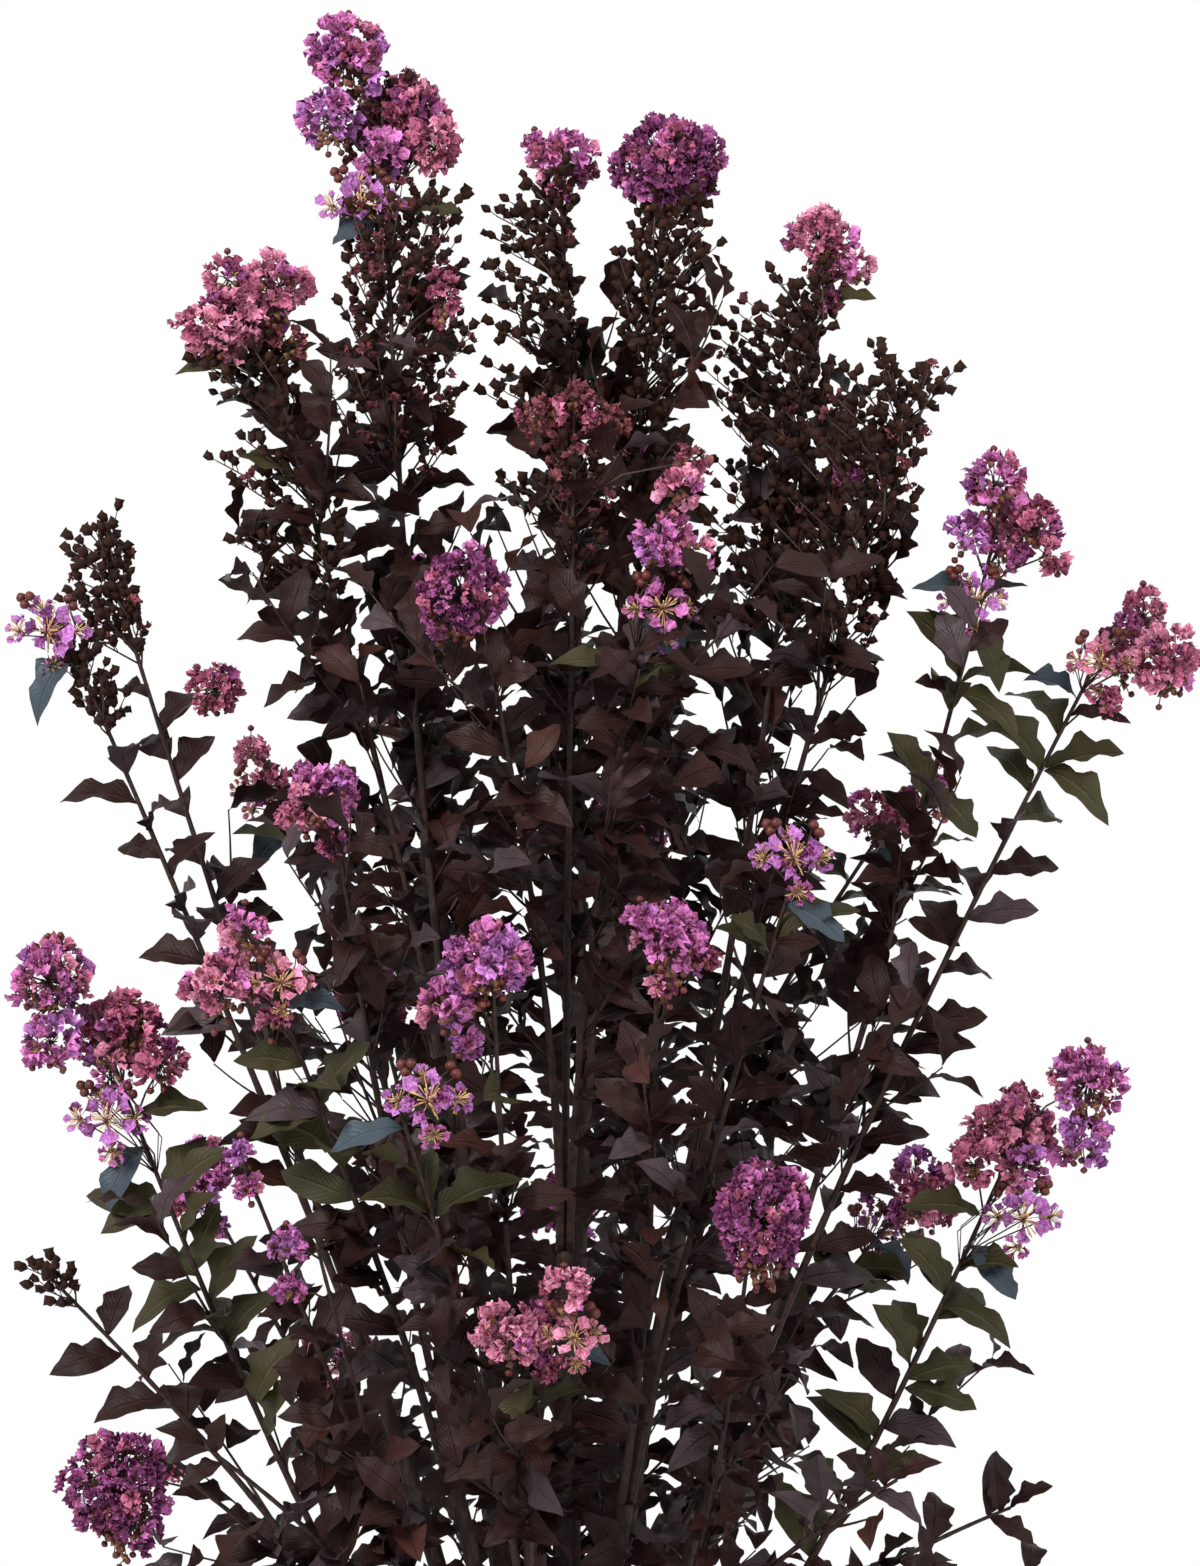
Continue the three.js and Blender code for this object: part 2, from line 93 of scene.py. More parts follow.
class Shade:
    """A socket of a material's nodes, which adds and multiplies like a number."""

    def __init__(self, tree, socket=None):
        self.tree = tree
        self.socket = socket

    def node(self, kind, settings=None, inputs=None, output=0):
        """Another node by its type, with its settings first and then its sockets' values or links."""
        made = self.tree.nodes.new("ShaderNode" + kind)
        for key, value in (settings or {}).items():
            setattr(made, key, value)
        for key, value in (inputs or {}).items():
            if isinstance(value, Shade):
                self.tree.links.new(value.socket, made.inputs[key])
            else:
                made.inputs[key].default_value = value
        return Shade(self.tree, made.outputs[output])

    def maths(self, operation, first, second=0.0):
        return self.node("Math", {"operation": operation}, {0: first, 1: second})

    def __add__(self, other):
        return self.maths("ADD", self, other)

    def __mul__(self, other):
        return self.maths("MULTIPLY", self, other)

    def __rsub__(self, other):
        return self.maths("SUBTRACT", other, self)

    __radd__ = __add__
    __rmul__ = __mul__

    def mixed(self, first, second):
        """The first colour where this value is 0, and the second where it is 1."""
        ends = {6: first, 7: second}
        ends = {key: end if isinstance(end, Shade) else (*end, 1) for key, end in ends.items()}
        return self.node("Mix", {"data_type": "RGBA"}, {0: self, **ends}, 2)

    def stepped(self, low, high):
        """0 where this value is under low, 1 where it is over high, and smooth between."""
        ends = {"Value": self, "From Min": low, "From Max": high}
        return self.node("MapRange", {"interpolation_type": "SMOOTHSTEP"}, ends)

    def noise(self, scale, detail=2.0, vector=None):
        where = vector or self.node("TexCoord", output="Object")
        return self.node("TexNoise", None, {"Vector": where, "Scale": scale, "Detail": detail})

    def bumped(self, depth):
        """The normal of a surface that has this value as its relief, depth in metres."""
        return self.node("Bump", None, {"Height": self, "Distance": depth, "Strength": 1.0})


def new_material(name, dress, **constants):
    """A material whose varying sockets come from dress(shade), and whose others are set to constants."""
    made = bpy.data.materials.new(name)
    made.use_nodes = True
    surface = made.node_tree.nodes["Principled BSDF"]
    for key, value in constants.items():
        surface.inputs[key].default_value = value
    for key, value in dress(Shade(made.node_tree)).items():
        made.node_tree.links.new(value.socket, surface.inputs[key])
    return made


def floor_finish(shade):
    grain = shade.noise(3.0)
    return {"Base Color": grain.mixed(*FLOOR_TONES), "Roughness": 0.7 + grain * 0.2}


bpy.ops.mesh.primitive_circle_add(vertices=FLOOR_SIDES, radius=FLOOR_RADIUS, fill_type="NGON")
floor = bpy.context.object
floor.name = "studio_floor"
floor.data.materials.append(new_material("pale_floor", floor_finish))

# ---- The root crown
# The woody base that every cane springs from: a squat burl with a lobed root flare, cut flat at ground level.
# Its bark is grey-brown, cracked upright and lumpy where old shoots were cut back.

HEIGHT = 86
PROFILE = [(116, 0), (104, 12), (90, 34), (84, 64), (78, 86)]  # radius and height of the flare, waist and rim
CUT_RINGS = np.array([0.3, 0.7])  # rings of the flat cut, as shares of the foot's radius
TOP_RINGS = np.array([0.97, 0.90, 0.8, 0.6, 0.4, 0.2, 0.05])  # rings of the domed top, as shares of the rim's
CROWN_DOME = 24
CROWN_RINGS = 56
CROWN_SIDES = 168
LOBES = 7
LOBE_DEPTH = 7
LOBE_HEIGHT = 120
BURLS = 26
BURL_LEVELS = (14, 70)
BURL_SIZES = (7, 16)
BURL_REACH = 90  # radius that turns a bearing into a distance round the crown
BURL_RISE = 5.0
BURL_GROOVE = 2.0
CRACKS = 23
CRACK_DEPTH = 1.6
BARK_DARK = (0.018, 0.010, 0.008)
BARK_PALE = (0.062, 0.040, 0.031)
BARK_YOUNG = (0.030, 0.015, 0.011)
STEEP = 0.9  # limbs steeper than this are framed from X in place of Z


def unit(vectors):
    return vectors / np.linalg.norm(vectors, axis=-1, keepdims=True)


def square_to(vectors, directions):
    """The parts of vectors that are square to directions, as unit vectors."""
    return unit(vectors - (vectors * directions).sum(-1, keepdims=True) * directions)


def within(ends, share):
    return ends[0] + (ends[1] - ends[0]) * share


def chance(shoot, piece, use):
    """A number from 0 to 1 that depends only on its keys."""
    wave = np.sin(shoot * 12.9898 + piece * 78.233 + use * 37.719) * 43758.5453
    return wave - np.floor(wave)


class Form:
    """Points in millimetres, faces as runs of point numbers, and a mark at each point for its finish."""

    def __init__(self, points, corners, sizes, marks):
        self.points = np.asarray(points, float)
        self.corners = np.asarray(corners, int)
        self.sizes = np.asarray(sizes, int)
        self.marks = np.asarray(marks, float)


def joined(forms):
    """Several forms as one."""
    offsets = np.cumsum([0] + [len(form.points) for form in forms[:-1]])
    return Form(
        np.concatenate([form.points for form in forms]),
        np.concatenate([form.corners + offset for form, offset in zip(forms, offsets)]),
        np.concatenate([form.sizes for form in forms]),
        np.concatenate([form.marks for form in forms]),
    )


def ring_faces(rings, sides):
    """The faces of a tube of rings of points, with a fan over each end about the two points that follow."""
    ring, side = np.meshgrid(np.arange(rings - 1), np.arange(sides), indexing="ij")
    here = (ring * sides + side).ravel()
    beside = (ring * sides + (side + 1) % sides).ravel()
    walls = np.stack([here, beside, beside + sides, here + sides], 1)
    turn = np.arange(sides)
    onward = (turn + 1) % sides
    last = (rings - 1) * sides
    foot = np.stack([np.full(sides, rings * sides), onward, turn], 1)
    tip = np.stack([np.full(sides, rings * sides + 1), last + turn, last + onward], 1)
    corners = np.concatenate([walls.ravel(), foot.ravel(), tip.ravel()])
    sizes = np.concatenate([np.full(len(walls), 4), np.full(2 * sides, 3)])
    return corners, sizes


def tubes(paths, radii, sides, relief=1.0):
    """Round limbs along paths of points, each path with as many rings, as one form."""
    count, rings = paths.shape[:2]
    along = unit(np.gradient(paths, axis=1))
    steep = np.abs(along[:, :1, 2:]) > STEEP
    across = square_to(np.where(steep, [1.0, 0, 0], [0, 0, 1.0]), along)
    beside = np.cross(along, across)
    angles = np.linspace(0, 2 * np.pi, sides, endpoint=False)[:, None]
    out = np.cos(angles) * across[:, :, None] + np.sin(angles) * beside[:, :, None]
    reach = radii[:, :, None] * relief
    walls = paths[:, :, None] + out * reach[..., None]
    points = np.concatenate([walls.reshape(count, -1, 3), paths[:, :1], paths[:, -1:]], 1)
    corners, sizes = ring_faces(rings, sides)
    offsets = np.arange(count)[:, None] * points.shape[1]
    marks = np.zeros((count, points.shape[1], 3))
    marks[:, : rings * sides, 1] = np.repeat(np.linspace(0, 1, rings), sides)
    marks[:, -1, 1] = 1
    marks[:, :, 2] = chance(np.arange(count), 0, 9)[:, None]
    sizes = np.tile(sizes, count)
    return Form(points.reshape(-1, 3), (corners + offsets).ravel(), sizes, marks.reshape(-1, 3))


def new_piece(name, form, material, stands_for):
    """One piece of the shrub, in place of the named nodes."""
    mesh = bpy.data.meshes.new(name)
    mesh.vertices.add(len(form.points))
    mesh.vertices.foreach_set("co", (form.points * MM).astype(np.float32).ravel())
    mesh.loops.add(len(form.corners))
    mesh.loops.foreach_set("vertex_index", form.corners.astype(np.int32))
    mesh.polygons.add(len(form.sizes))
    starts = np.concatenate([[0], np.cumsum(form.sizes)[:-1]])
    mesh.polygons.foreach_set("loop_start", starts.astype(np.int32))
    mesh.update(calc_edges=True)
    mesh.polygons.foreach_set("use_smooth", np.ones(len(form.sizes), bool))
    mark = mesh.attributes.new("mark", "FLOAT_VECTOR", "POINT")
    mark.data.foreach_set("vector", form.marks.astype(np.float32).ravel())
    mesh.materials.append(material)
    piece = new_object(name, mesh)
    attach(piece, "root")
    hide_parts(*stands_for)


def bark_finish(shade):
    place = shade.node("TexCoord", output="Object")
    drawn = shade.node("Mapping", None, {"Vector": place, "Scale": (1.0, 1.0, 0.22)})
    flakes = shade.noise(95.0, 3.0, drawn)
    fibres = shade.noise(420.0, 2.0, drawn)
    peeled = flakes.stepped(0.47, 0.60)
    relief = peeled * -0.6 + fibres * 0.5
    height = shade.node("SeparateXYZ", None, {0: place}, "Z")
    pale = height.stepped(0.15, 0.65).mixed(BARK_PALE, BARK_YOUNG)
    colour = (fibres.stepped(0.3, 0.8) * 0.5).mixed(peeled.mixed(BARK_DARK, pale), BARK_DARK)
    return {"Base Color": colour, "Roughness": 0.85 - peeled * 0.25, "Normal": relief.bumped(0.0012)}


def root_crown_form():
    """The lathed outline, lobed at the flare and drawn smooth, with cracks and cut-back burls as relief."""
    radii, heights = np.array(PROFILE, float).T
    share = np.linspace(0, 1, CROWN_RINGS)
    run = np.concatenate([[0], np.cumsum(np.hypot(np.diff(radii), np.diff(heights)))])
    radius = np.interp(share * run[-1], run, radii)
    height = np.interp(share * run[-1], run, heights)
    radius = np.concatenate([CUT_RINGS * radius[0], radius, TOP_RINGS * radius[-1]])
    height = np.concatenate([0 * CUT_RINGS, height, HEIGHT + CROWN_DOME * (1 - TOP_RINGS**2)])
    angles = np.linspace(0, 2 * np.pi, CROWN_SIDES, endpoint=False)
    lobe = np.cos(LOBES * angles)[None] * LOBE_DEPTH * (1 - height / LOBE_HEIGHT)[:, None]
    burl = np.zeros((len(radius), CROWN_SIDES))
    for i in range(BURLS):
        middle = 2 * np.pi * chance(i, 1, 1)
        level = within(BURL_LEVELS, chance(i, 2, 1))
        size = within(BURL_SIZES, chance(i, 3, 1))
        turn = np.angle(np.exp(1j * (angles - middle)))[None] * BURL_REACH
        gap = np.hypot(turn, (height - level)[:, None]) / size
        burl += BURL_RISE * np.exp(-(gap**2)) - BURL_GROOVE * np.exp(-((gap - 1.3) ** 2) * 8)
    cracks = -CRACK_DEPTH * np.abs(np.sin(CRACKS * angles + 1.3 * np.sin(5 * angles)))[None] ** 6
    inside = np.clip((radius / radius.max())[:, None] * 1.4 - 0.4, 0, 1)
    low = (height < 1)[:, None]
    reach = radius[:, None] + (lobe + np.where(low, 0, burl + cracks)) * inside
    level = np.repeat(height[:, None], CROWN_SIDES, 1)
    walls = np.stack([reach * np.cos(angles), reach * np.sin(angles), level], -1)
    points = np.concatenate([walls.reshape(-1, 3), [[0, 0, 0], [0, 0, HEIGHT + CROWN_DOME]]])
    return Form(points, *ring_faces(len(radius), CROWN_SIDES), np.zeros_like(points))


bark = new_material("smooth_bark", bark_finish, IOR=1.33)
new_piece("root_crown_bark", root_crown_form(), bark, ["root_crown"])

# ---- The canes
# Upright woody stems that fan out of the root crown to their forks, 22 mm thick at the foot. The thin bark
# peels in long strips, grey-brown over paler wood. Each stands in a swollen collar on the root crown's top.

CANE_RADII = (11, 7.8)
CANE_SUNK = 30
CANE_LEAN = 0.88
CANE_BOW = 0.27
CANE_SIDES = 18
CANE_RINGS = 60
STRIP_RELIEF = 0.045  # these four as shares of the cane's radius
FIBRE_RELIEF = 0.025
NODE_SWELL = 0.07
COLLAR_SWELL = 0.45
OLD_NODES = 9
CURVE_POINTS = 201
INNER = 18  # radii of the rings on the root crown's top that the canes stand on
MIDDLE_RING = 42
OUTER = 66

# Each cane: the height of its fork, its foot's bearing and ring, and its shoots by name. A shoot: bearing,
# reach and height of its tip, its flower head's width and height, and its capsule spire's width and height.
CANES = {
    "tall_left": (860, (190, INNER), {
        "tall_left": (174, 183, 1997, 158, 235, 140, 120),
        "upper_left": (191, 326, 1750, 128, 120, 90, 80)}),
    "tall_middle": (900, (80, INNER), {
        "tall_middle": (93, 60, 1878, 80, 75, 90, 180),
        "tall_right": (2, 116, 1898, 112, 105, 105, 180)}),
    "right": (820, (0, INNER), {
        "right_spire": (8, 271, 1803, 90, 110, 110, 150),
        "right_capsules": (350, 352, 1595, 0, 0, 165, 200)}),
    "right_outer": (600, (8, MIDDLE_RING), {
        "right_outer": (4, 588, 1425, 112, 150),
        "right_upper": (353, 456, 1553, 118, 180)}),
    "right_low": (320, (350, OUTER), {
        "right_low": (349, 501, 968, 128, 225),
        "right_lowest": (2, 452, 490)}),
    "front_right_low": (330, (308, OUTER), {
        "front_right_low": (295, 440, 875, 100, 130),
        "front_right_lowest": (318, 430, 560)}),
    "front_right": (520, (288, MIDDLE_RING), {
        "front_right": (302, 446, 1187, 92, 88),
        "front_middle": (282, 439, 1115, 104, 110)}),
    "front_high": (760, (268, INNER), {
        "front_high_left": (254, 312, 1443, 96, 96),
        "front_high_right": (291, 300, 1522, 86, 172),
        "front_crown": (276, 152, 1652, 126, 110, 70, 60)}),
    "front_low": (370, (264, OUTER), {
        "front_low": (271, 500, 797, 118, 148),
        "front_waist": (262, 436, 1092, 118, 136),
        "front_lower_left": (252, 505, 968, 84, 88)}),
    "front_left_low": (310, (225, OUTER), {
        "front_left_low": (230, 469, 890, 52, 72),
        "front_left_lower": (241, 469, 821, 52, 98),
        "front_left_lowest": (219, 430, 590)}),
    "front_left": (540, (243, MIDDLE_RING), {
        "front_left": (237, 395, 1248, 92, 96),
        "left_waist": (227, 441, 1112, 112, 142)}),
    "left_low": (330, (188, OUTER), {
        "left_low": (192, 494, 1068, 160, 225),
        "left_lower": (185, 511, 731, 0, 0, 44, 50),
        "left_lowest": (200, 448, 585, 100, 128)}),
    "left_outer": (640, (172, MIDDLE_RING), {
        "left_outer": (186, 512, 1413, 84, 82, 60, 90),
        "left_capsules": (177, 459, 1452, 0, 0, 96, 130)}),
    "back_left_low": (330, (132, OUTER), {
        "back_left_low": (146, 500, 850, 100, 120),
        "back_left_lowest": (118, 530, 620, 90, 100)}),
    "back_left": (600, (118, MIDDLE_RING), {
        "back_left": (136, 455, 1280, 104, 120),
        "back_left_waist": (115, 515, 1020, 96, 100),
        "back_left_high": (113, 388, 1480, 90, 110, 80, 110)}),
    "back_right_low": (330, (62, OUTER), {
        "back_right_low": (39, 530, 820, 110, 125),
        "back_right_lowest": (66, 520, 610, 0, 0, 50, 60),
        "back_low": (92, 545, 790, 96, 100)}),
    "back_right": (620, (50, MIDDLE_RING), {
        "back_right": (37, 500, 1250, 110, 130),
        "back_waist": (82, 480, 1215, 100, 110),
        "back_crown": (72, 330, 1590, 84, 96, 84, 120)}),
}


def place(bearing, reach, height):
    turn = math.radians(bearing)
    return np.array([reach * math.cos(turn), reach * math.sin(turn), height])


def bent(foot, bend, tip, share):
    """Points at shares of the way along one even bend."""
    return (1 - share) ** 2 * foot + 2 * share * (1 - share) * bend + share**2 * tip


class Curve:
    """A limb's centre line, one even bend from its foot to its tip, read by the distance from its foot."""

    def __init__(self, foot, bend, tip):
        share = np.linspace(0, 1, CURVE_POINTS)[:, None]
        self.points = bent(foot, bend, tip, share)
        self.slopes = unit((1 - share) * (bend - foot) + share * (tip - bend))
        steps = np.linalg.norm(np.diff(self.points, axis=0), axis=1)
        self.run = np.concatenate([[0], np.cumsum(steps)])
        self.length = self.run[-1]

    def at(self, distances):
        return np.stack([np.interp(distances, self.run, column) for column in self.points.T], -1)

    def direction(self, distances):
        return unit(np.stack([np.interp(distances, self.run, column) for column in self.slopes.T], -1))


def cane_parts(fork, foot_place, rows):
    """A cane's curve, and what its shoots start from: their middle and tips."""
    tips = [place(*row[:3]) for row in rows.values()]
    middle = np.mean(tips, axis=0)
    end = middle * (fork / middle[2]) * CANE_LEAN
    end[2] = fork
    foot = place(*foot_place, HEIGHT - CANE_SUNK)
    bend = foot + (end - foot) * CANE_BOW
    bend[2] = (foot[2] + end[2]) / 2
    return Curve(foot, bend, end), middle, tips


def strips(count, rings, sides):
    """Relief of peeling bark as shares of the radius: long low strips, swells at the foot and old nodes."""
    up = np.linspace(0, 1, rings)
    limb, ring, side = np.meshgrid(np.arange(count), up, np.arange(sides), indexing="ij")
    angle = side * 2 * np.pi / sides
    drift = 2.1 * np.sin(3.1 * limb + 5 * ring) + 6 * ring
    strip = np.tanh(3 * np.sin(3 * angle + drift) + 2.2 * np.sin(11 * ring + 2 * angle + limb))
    fibre = 0.4 * np.sin(7 * angle + 17 * ring + limb) + 0.3 * np.sin(5 * angle - 29 * ring)
    nodes = np.exp(-((np.mod(ring * OLD_NODES + 0.37 * limb, 1) - 0.5) ** 2) * 260)
    collar = COLLAR_SWELL * np.exp(-ring * 26)
    return 1 + STRIP_RELIEF * strip + FIBRE_RELIEF * fibre + NODE_SWELL * nodes + collar


cane_parts_by_name = {name: cane_parts(*row) for name, row in CANES.items()}
cane_curves = [curve for curve, _, _ in cane_parts_by_name.values()]
cane_steps = np.linspace(0, 1, CANE_RINGS)
cane_paths = np.stack([curve.at(cane_steps * curve.length) for curve in cane_curves])
cane_radii = np.tile(within(CANE_RADII, cane_steps), (len(cane_curves), 1))
cane_form = tubes(cane_paths, cane_radii, CANE_SIDES, strips(len(cane_curves), CANE_RINGS, CANE_SIDES))
new_piece("canes_bark", cane_form, bark, [f"cane_{name}" for name in CANES])

# ---- The shoots
# Each cane forks into two or three long shoots of the year, round and dark, that stand evenly round its tip
# and arch over to their own tips. They swell a little at each leaf and thin towards the flowers.

STEM_RADII = (4.6, 1.7)
STEM_TAPER = 0.8
STEM_SIDES = 8
STEM_RINGS = 57
STEM_SWELL = 0.10  # on every fourth ring
STEM_END = 0.35  # the stem ends this share of its flower head's height below its curve's tip
FORK_SPREAD = 5.4
FOLLOW = 0.36
CLEARANCE = 0.3


class Shoot:
    """One shoot: its curve, and the lengths of its leafy, capsule and flower stretches."""

    def __init__(self, name, number, curve, bloom_width=0, bloom_height=0, spire_width=0, spire_height=0):
        self.name = name
        self.number = number
        self.curve = curve
        self.bloom_width = bloom_width
        self.bloom_height = bloom_height
        self.spire_width = spire_width
        self.spire_height = spire_height
        self.leafy = curve.length - bloom_height - spire_height


def turned(vectors, axis, degrees):
    """Vectors turned round an axis."""
    turn = np.radians(degrees)[..., None] if np.ndim(degrees) else math.radians(degrees)
    dot = (vectors * axis).sum(-1, keepdims=True)
    return vectors * np.cos(turn) + np.cross(axis, vectors) * np.sin(turn) + axis * dot * (1 - np.cos(turn))


def stem_curves(curve, middle, tips):
    """The curves of a cane's shoots, evenly round its tip, the first on its own tip's side."""
    end = curve.points[-1]
    axis = curve.slopes[-1]
    sides = [square_to(tip - middle, axis) for tip in tips]
    for i, (tip, side) in enumerate(zip(tips, sides)):
        way = -1 if np.dot(np.cross(sides[0], side), axis) < 0 else 1
        sideways = turned(sides[0], axis, way * 360 / len(tips) if i else 0)
        foot = end + sideways * FORK_SPREAD + axis * CLEARANCE
        bend = foot + axis * np.linalg.norm(tip - foot) * FOLLOW
        yield Curve(foot, bend, tip)


shoots = []
for cane_name, (_, _, rows) in CANES.items():
    for (name, row), curve in zip(rows.items(), stem_curves(*cane_parts_by_name[cane_name])):
        shoots.append(Shoot(name, len(shoots) + 1, curve, *row[3:]))

foliage_nodes = [f"foliage_{shoot.name}" for shoot in shoots]


def nodes_of(numbers):
    """The masses of the shoots that have these numbers."""
    return [foliage_nodes[number - 1] for number in sorted(set(abs(int(number)) for number in numbers))]


def stem_finish(shade):
    grain = shade.noise(160.0)
    colour = grain.stepped(0.35, 0.7).mixed((0.013, 0.006, 0.005), (0.040, 0.018, 0.013))
    return {"Base Color": colour, "Roughness": 0.5 + grain * 0.3, "Normal": grain.bumped(0.0006)}


young_bark = new_material("young_bark", stem_finish, IOR=1.33)
stem_steps = np.linspace(0, 1, STEM_RINGS)
stem_paths = np.stack([
    shoot.curve.at(stem_steps * (shoot.curve.length - STEM_END * shoot.bloom_height)) for shoot in shoots
])
stem_radii = np.tile(within(STEM_RADII, stem_steps**STEM_TAPER), (len(shoots), 1))
stem_radii *= 1 + STEM_SWELL * (np.arange(STEM_RINGS) % 4 == 0)
new_piece("shoot_stems", tubes(stem_paths, stem_radii, STEM_SIDES), young_bark, foliage_nodes)

# ---- The twigs
# Side twigs spiral up each shoot, and finer ones fill in between them. Each keeps to its own shoot's space:
# one with no room is turned or cut back, and then left out.

from collections import namedtuple

SPIRAL = 137.5  # degrees from one twig to the next
TWIG_SPLAY = 43
SHOOT_BARE = 0.2
TWIG_PLACES = (0.2, 0.7)
TWIG_LENGTHS = (0.85, 1.25)
TWIG_STRAIGHT = 0.4
TWIG_RISE = 0.25
TWIG_RINGS = 6
TWIG_SIDES = 5
TWIG_TIP = 0.8  # radius
TWIGS = [  # pitch up the shoot, longest, shortest, foot's radius
    (230, 240, 95, 2.0),
    (60, 160, 55, 1.5),
    (37, 115, 38, 1.2),
]
CANE_TWIGS = (58, 190, 60, 1.7)
CANE_BARE = 0.24
CANE_THINNING = 1.5
DEEP_TWIGS = (50, 230, 60, 1.5)
DEEP_SHOOTS = {  # shoots with more twigs towards the crown's open middle, and the way there (90 is back)
    "tall_middle": 90, "tall_right": 90, "right_spire": 90, "tall_left": 90, "back_crown": -90,
    "back_left_high": -90, "back_right": -90, "back_left": -90,
}
DEEP_STRETCH = (0.08, 0.56)
DEEP_SHORTENING = 0.3
DEEP_SWING = 40
OPEN_SHOOTS = {  # the open ones have few side twigs
    "right_outer", "right_low", "right_lowest", "left_low", "left_lower", "left_lowest", "left_outer",
    "left_capsules", "front_left_low", "front_left_lower", "front_left_lowest", "left_waist",
}
OUTLYING = 400  # other shoots whose tips are further out than this have no finer twigs near the top
TWIGGY = {  # side twigs' top as a share of the leafy stretch and their thinning, and the same of finer twigs
    "open": ((0.8, 1.3), (0.5, 2.4)),
    "outlying": ((1.0, 1.0), (0.8, 1.8)),
    "inner": ((1.0, 1.0), (1.0, 1.5)),
}
INNER_SHORTENING = 0.4
INNER_GATHERING = 0.8
SPIRE_LEAFY = 0.12
SECOND_TURNS = (0, 70, -70, 150)  # tried in turn at each length, before the growth is cut back
CUT_BACK = 0.8
SPACE_GAP = 3.5
LOWEST_LEAF = 170
HEAD_REACH = 0.5
LINES = 4  # straight lines that stand for a limb in the search for room
ASKED_AT_ONCE = 4000


def limb_lines(curve):
    nodes = curve.at(np.linspace(0, curve.length, LINES + 1))
    return np.stack([nodes[:-1], nodes[1:]], 1)


stem_lines = np.concatenate([limb_lines(shoot.curve) for shoot in shoots])
cane_lines = np.concatenate([limb_lines(curve) for curve in cane_curves])
flowering = [shoot for shoot in shoots if shoot.bloom_width]
head_lines = np.stack([
    shoot.curve.at(np.array([shoot.curve.length - shoot.bloom_height, shoot.curve.length]))
    for shoot in flowering
])
head_numbers = np.array([shoot.number for shoot in flowering])
head_radii = np.array([HEAD_REACH * shoot.bloom_width for shoot in flowering])


def distances(points, lines):
    """From each point to each line."""
    start, run = lines[:, 0], lines[:, 1] - lines[:, 0]
    offset = points[:, None] - start
    share = np.clip((offset * run).sum(-1) / (run * run).sum(-1), 0, 1)
    return np.linalg.norm(offset - share[..., None] * run, axis=-1)


def in_space(points, numbers):
    """Whether each point is in its shoot's own space, nearest its stem and clear of canes and other heads.

    What grows on a cane has a shoot's number negated, and keeps clear of every stem.
    """
    stems = distances(points, stem_lines).reshape(len(points), len(shoots), LINES).min(-1)
    rows = np.flatnonzero(numbers > 0)
    own = np.full(len(points), 2.0 * SPACE_GAP)
    own[rows] += stems[rows, numbers[rows] - 1]
    stems[rows, numbers[rows] - 1] = np.inf
    canes = distances(points, cane_lines).min(-1)
    heads = (distances(points, head_lines) > head_radii) | (head_numbers == numbers[:, None])
    clear = (stems.min(-1) > own) & (canes > CANE_RADII[0] + SPACE_GAP) & heads.all(-1)
    return clear & (points[:, 2] > LOWEST_LEAF)


def splayed(axes, turns, splay):
    """Ways out from axes at an angle to them, each turned round its axis by its own."""
    out = turned(square_to(np.array([1.0, 0, 0]), axes), axes, turns)
    return axes * math.cos(math.radians(splay)) + out * math.sin(math.radians(splay))


def grown(feet, axes, turns, lengths, shortest, numbers, shape):
    """Each growth's first try that keeps to its space, as its turn and length, or a length of 0 for none."""
    found = np.zeros(len(feet))
    final = turns.copy()
    cut = 1.0
    while cut * lengths.max() > shortest:
        for second in SECOND_TURNS:
            left = np.flatnonzero((found == 0) & (lengths * cut > shortest))
            if len(left):
                samples = shape(feet[left], axes[left], turns[left] + second, lengths[left] * cut)
                asked = samples.reshape(-1, 3)
                owners = np.repeat(numbers[left], samples.shape[1])
                runs = [slice(i, i + ASKED_AT_ONCE) for i in range(0, len(asked), ASKED_AT_ONCE)]
                inside = np.concatenate([in_space(asked[run], owners[run]) for run in runs])
                good = left[inside.reshape(len(left), -1).all(1)]
                found[good] = lengths[good] * cut
                final[good] = turns[good] + second
        cut *= CUT_BACK
    return final, found


def twig_ends(feet, axes, turns, lengths):
    """Foot, bend and tip of twigs."""
    out = splayed(axes, turns, TWIG_SPLAY)
    reach = lengths[:, None]
    tips = feet + out * reach * (1 - TWIG_RISE) + axes * reach * TWIG_RISE
    return feet, feet + out * reach * TWIG_STRAIGHT, tips


def twig_samples(feet, axes, turns, lengths):
    ends = twig_ends(feet, axes, turns, lengths)
    return np.stack([bent(*ends, 0.5), ends[2]], 1)


# A stretch of a limb that has twigs: its ends up the curve, how much of the way to the shortest the twigs
# shorten by the limb's tip, how much further apart they are, and how they gather (under 1: at its top).
Stretch = namedtuple("Stretch", "number curve start end shortening thinning gathering", defaults=(1, 1, 1))
Twig = namedtuple("Twig", "number rank curve foot_radius")


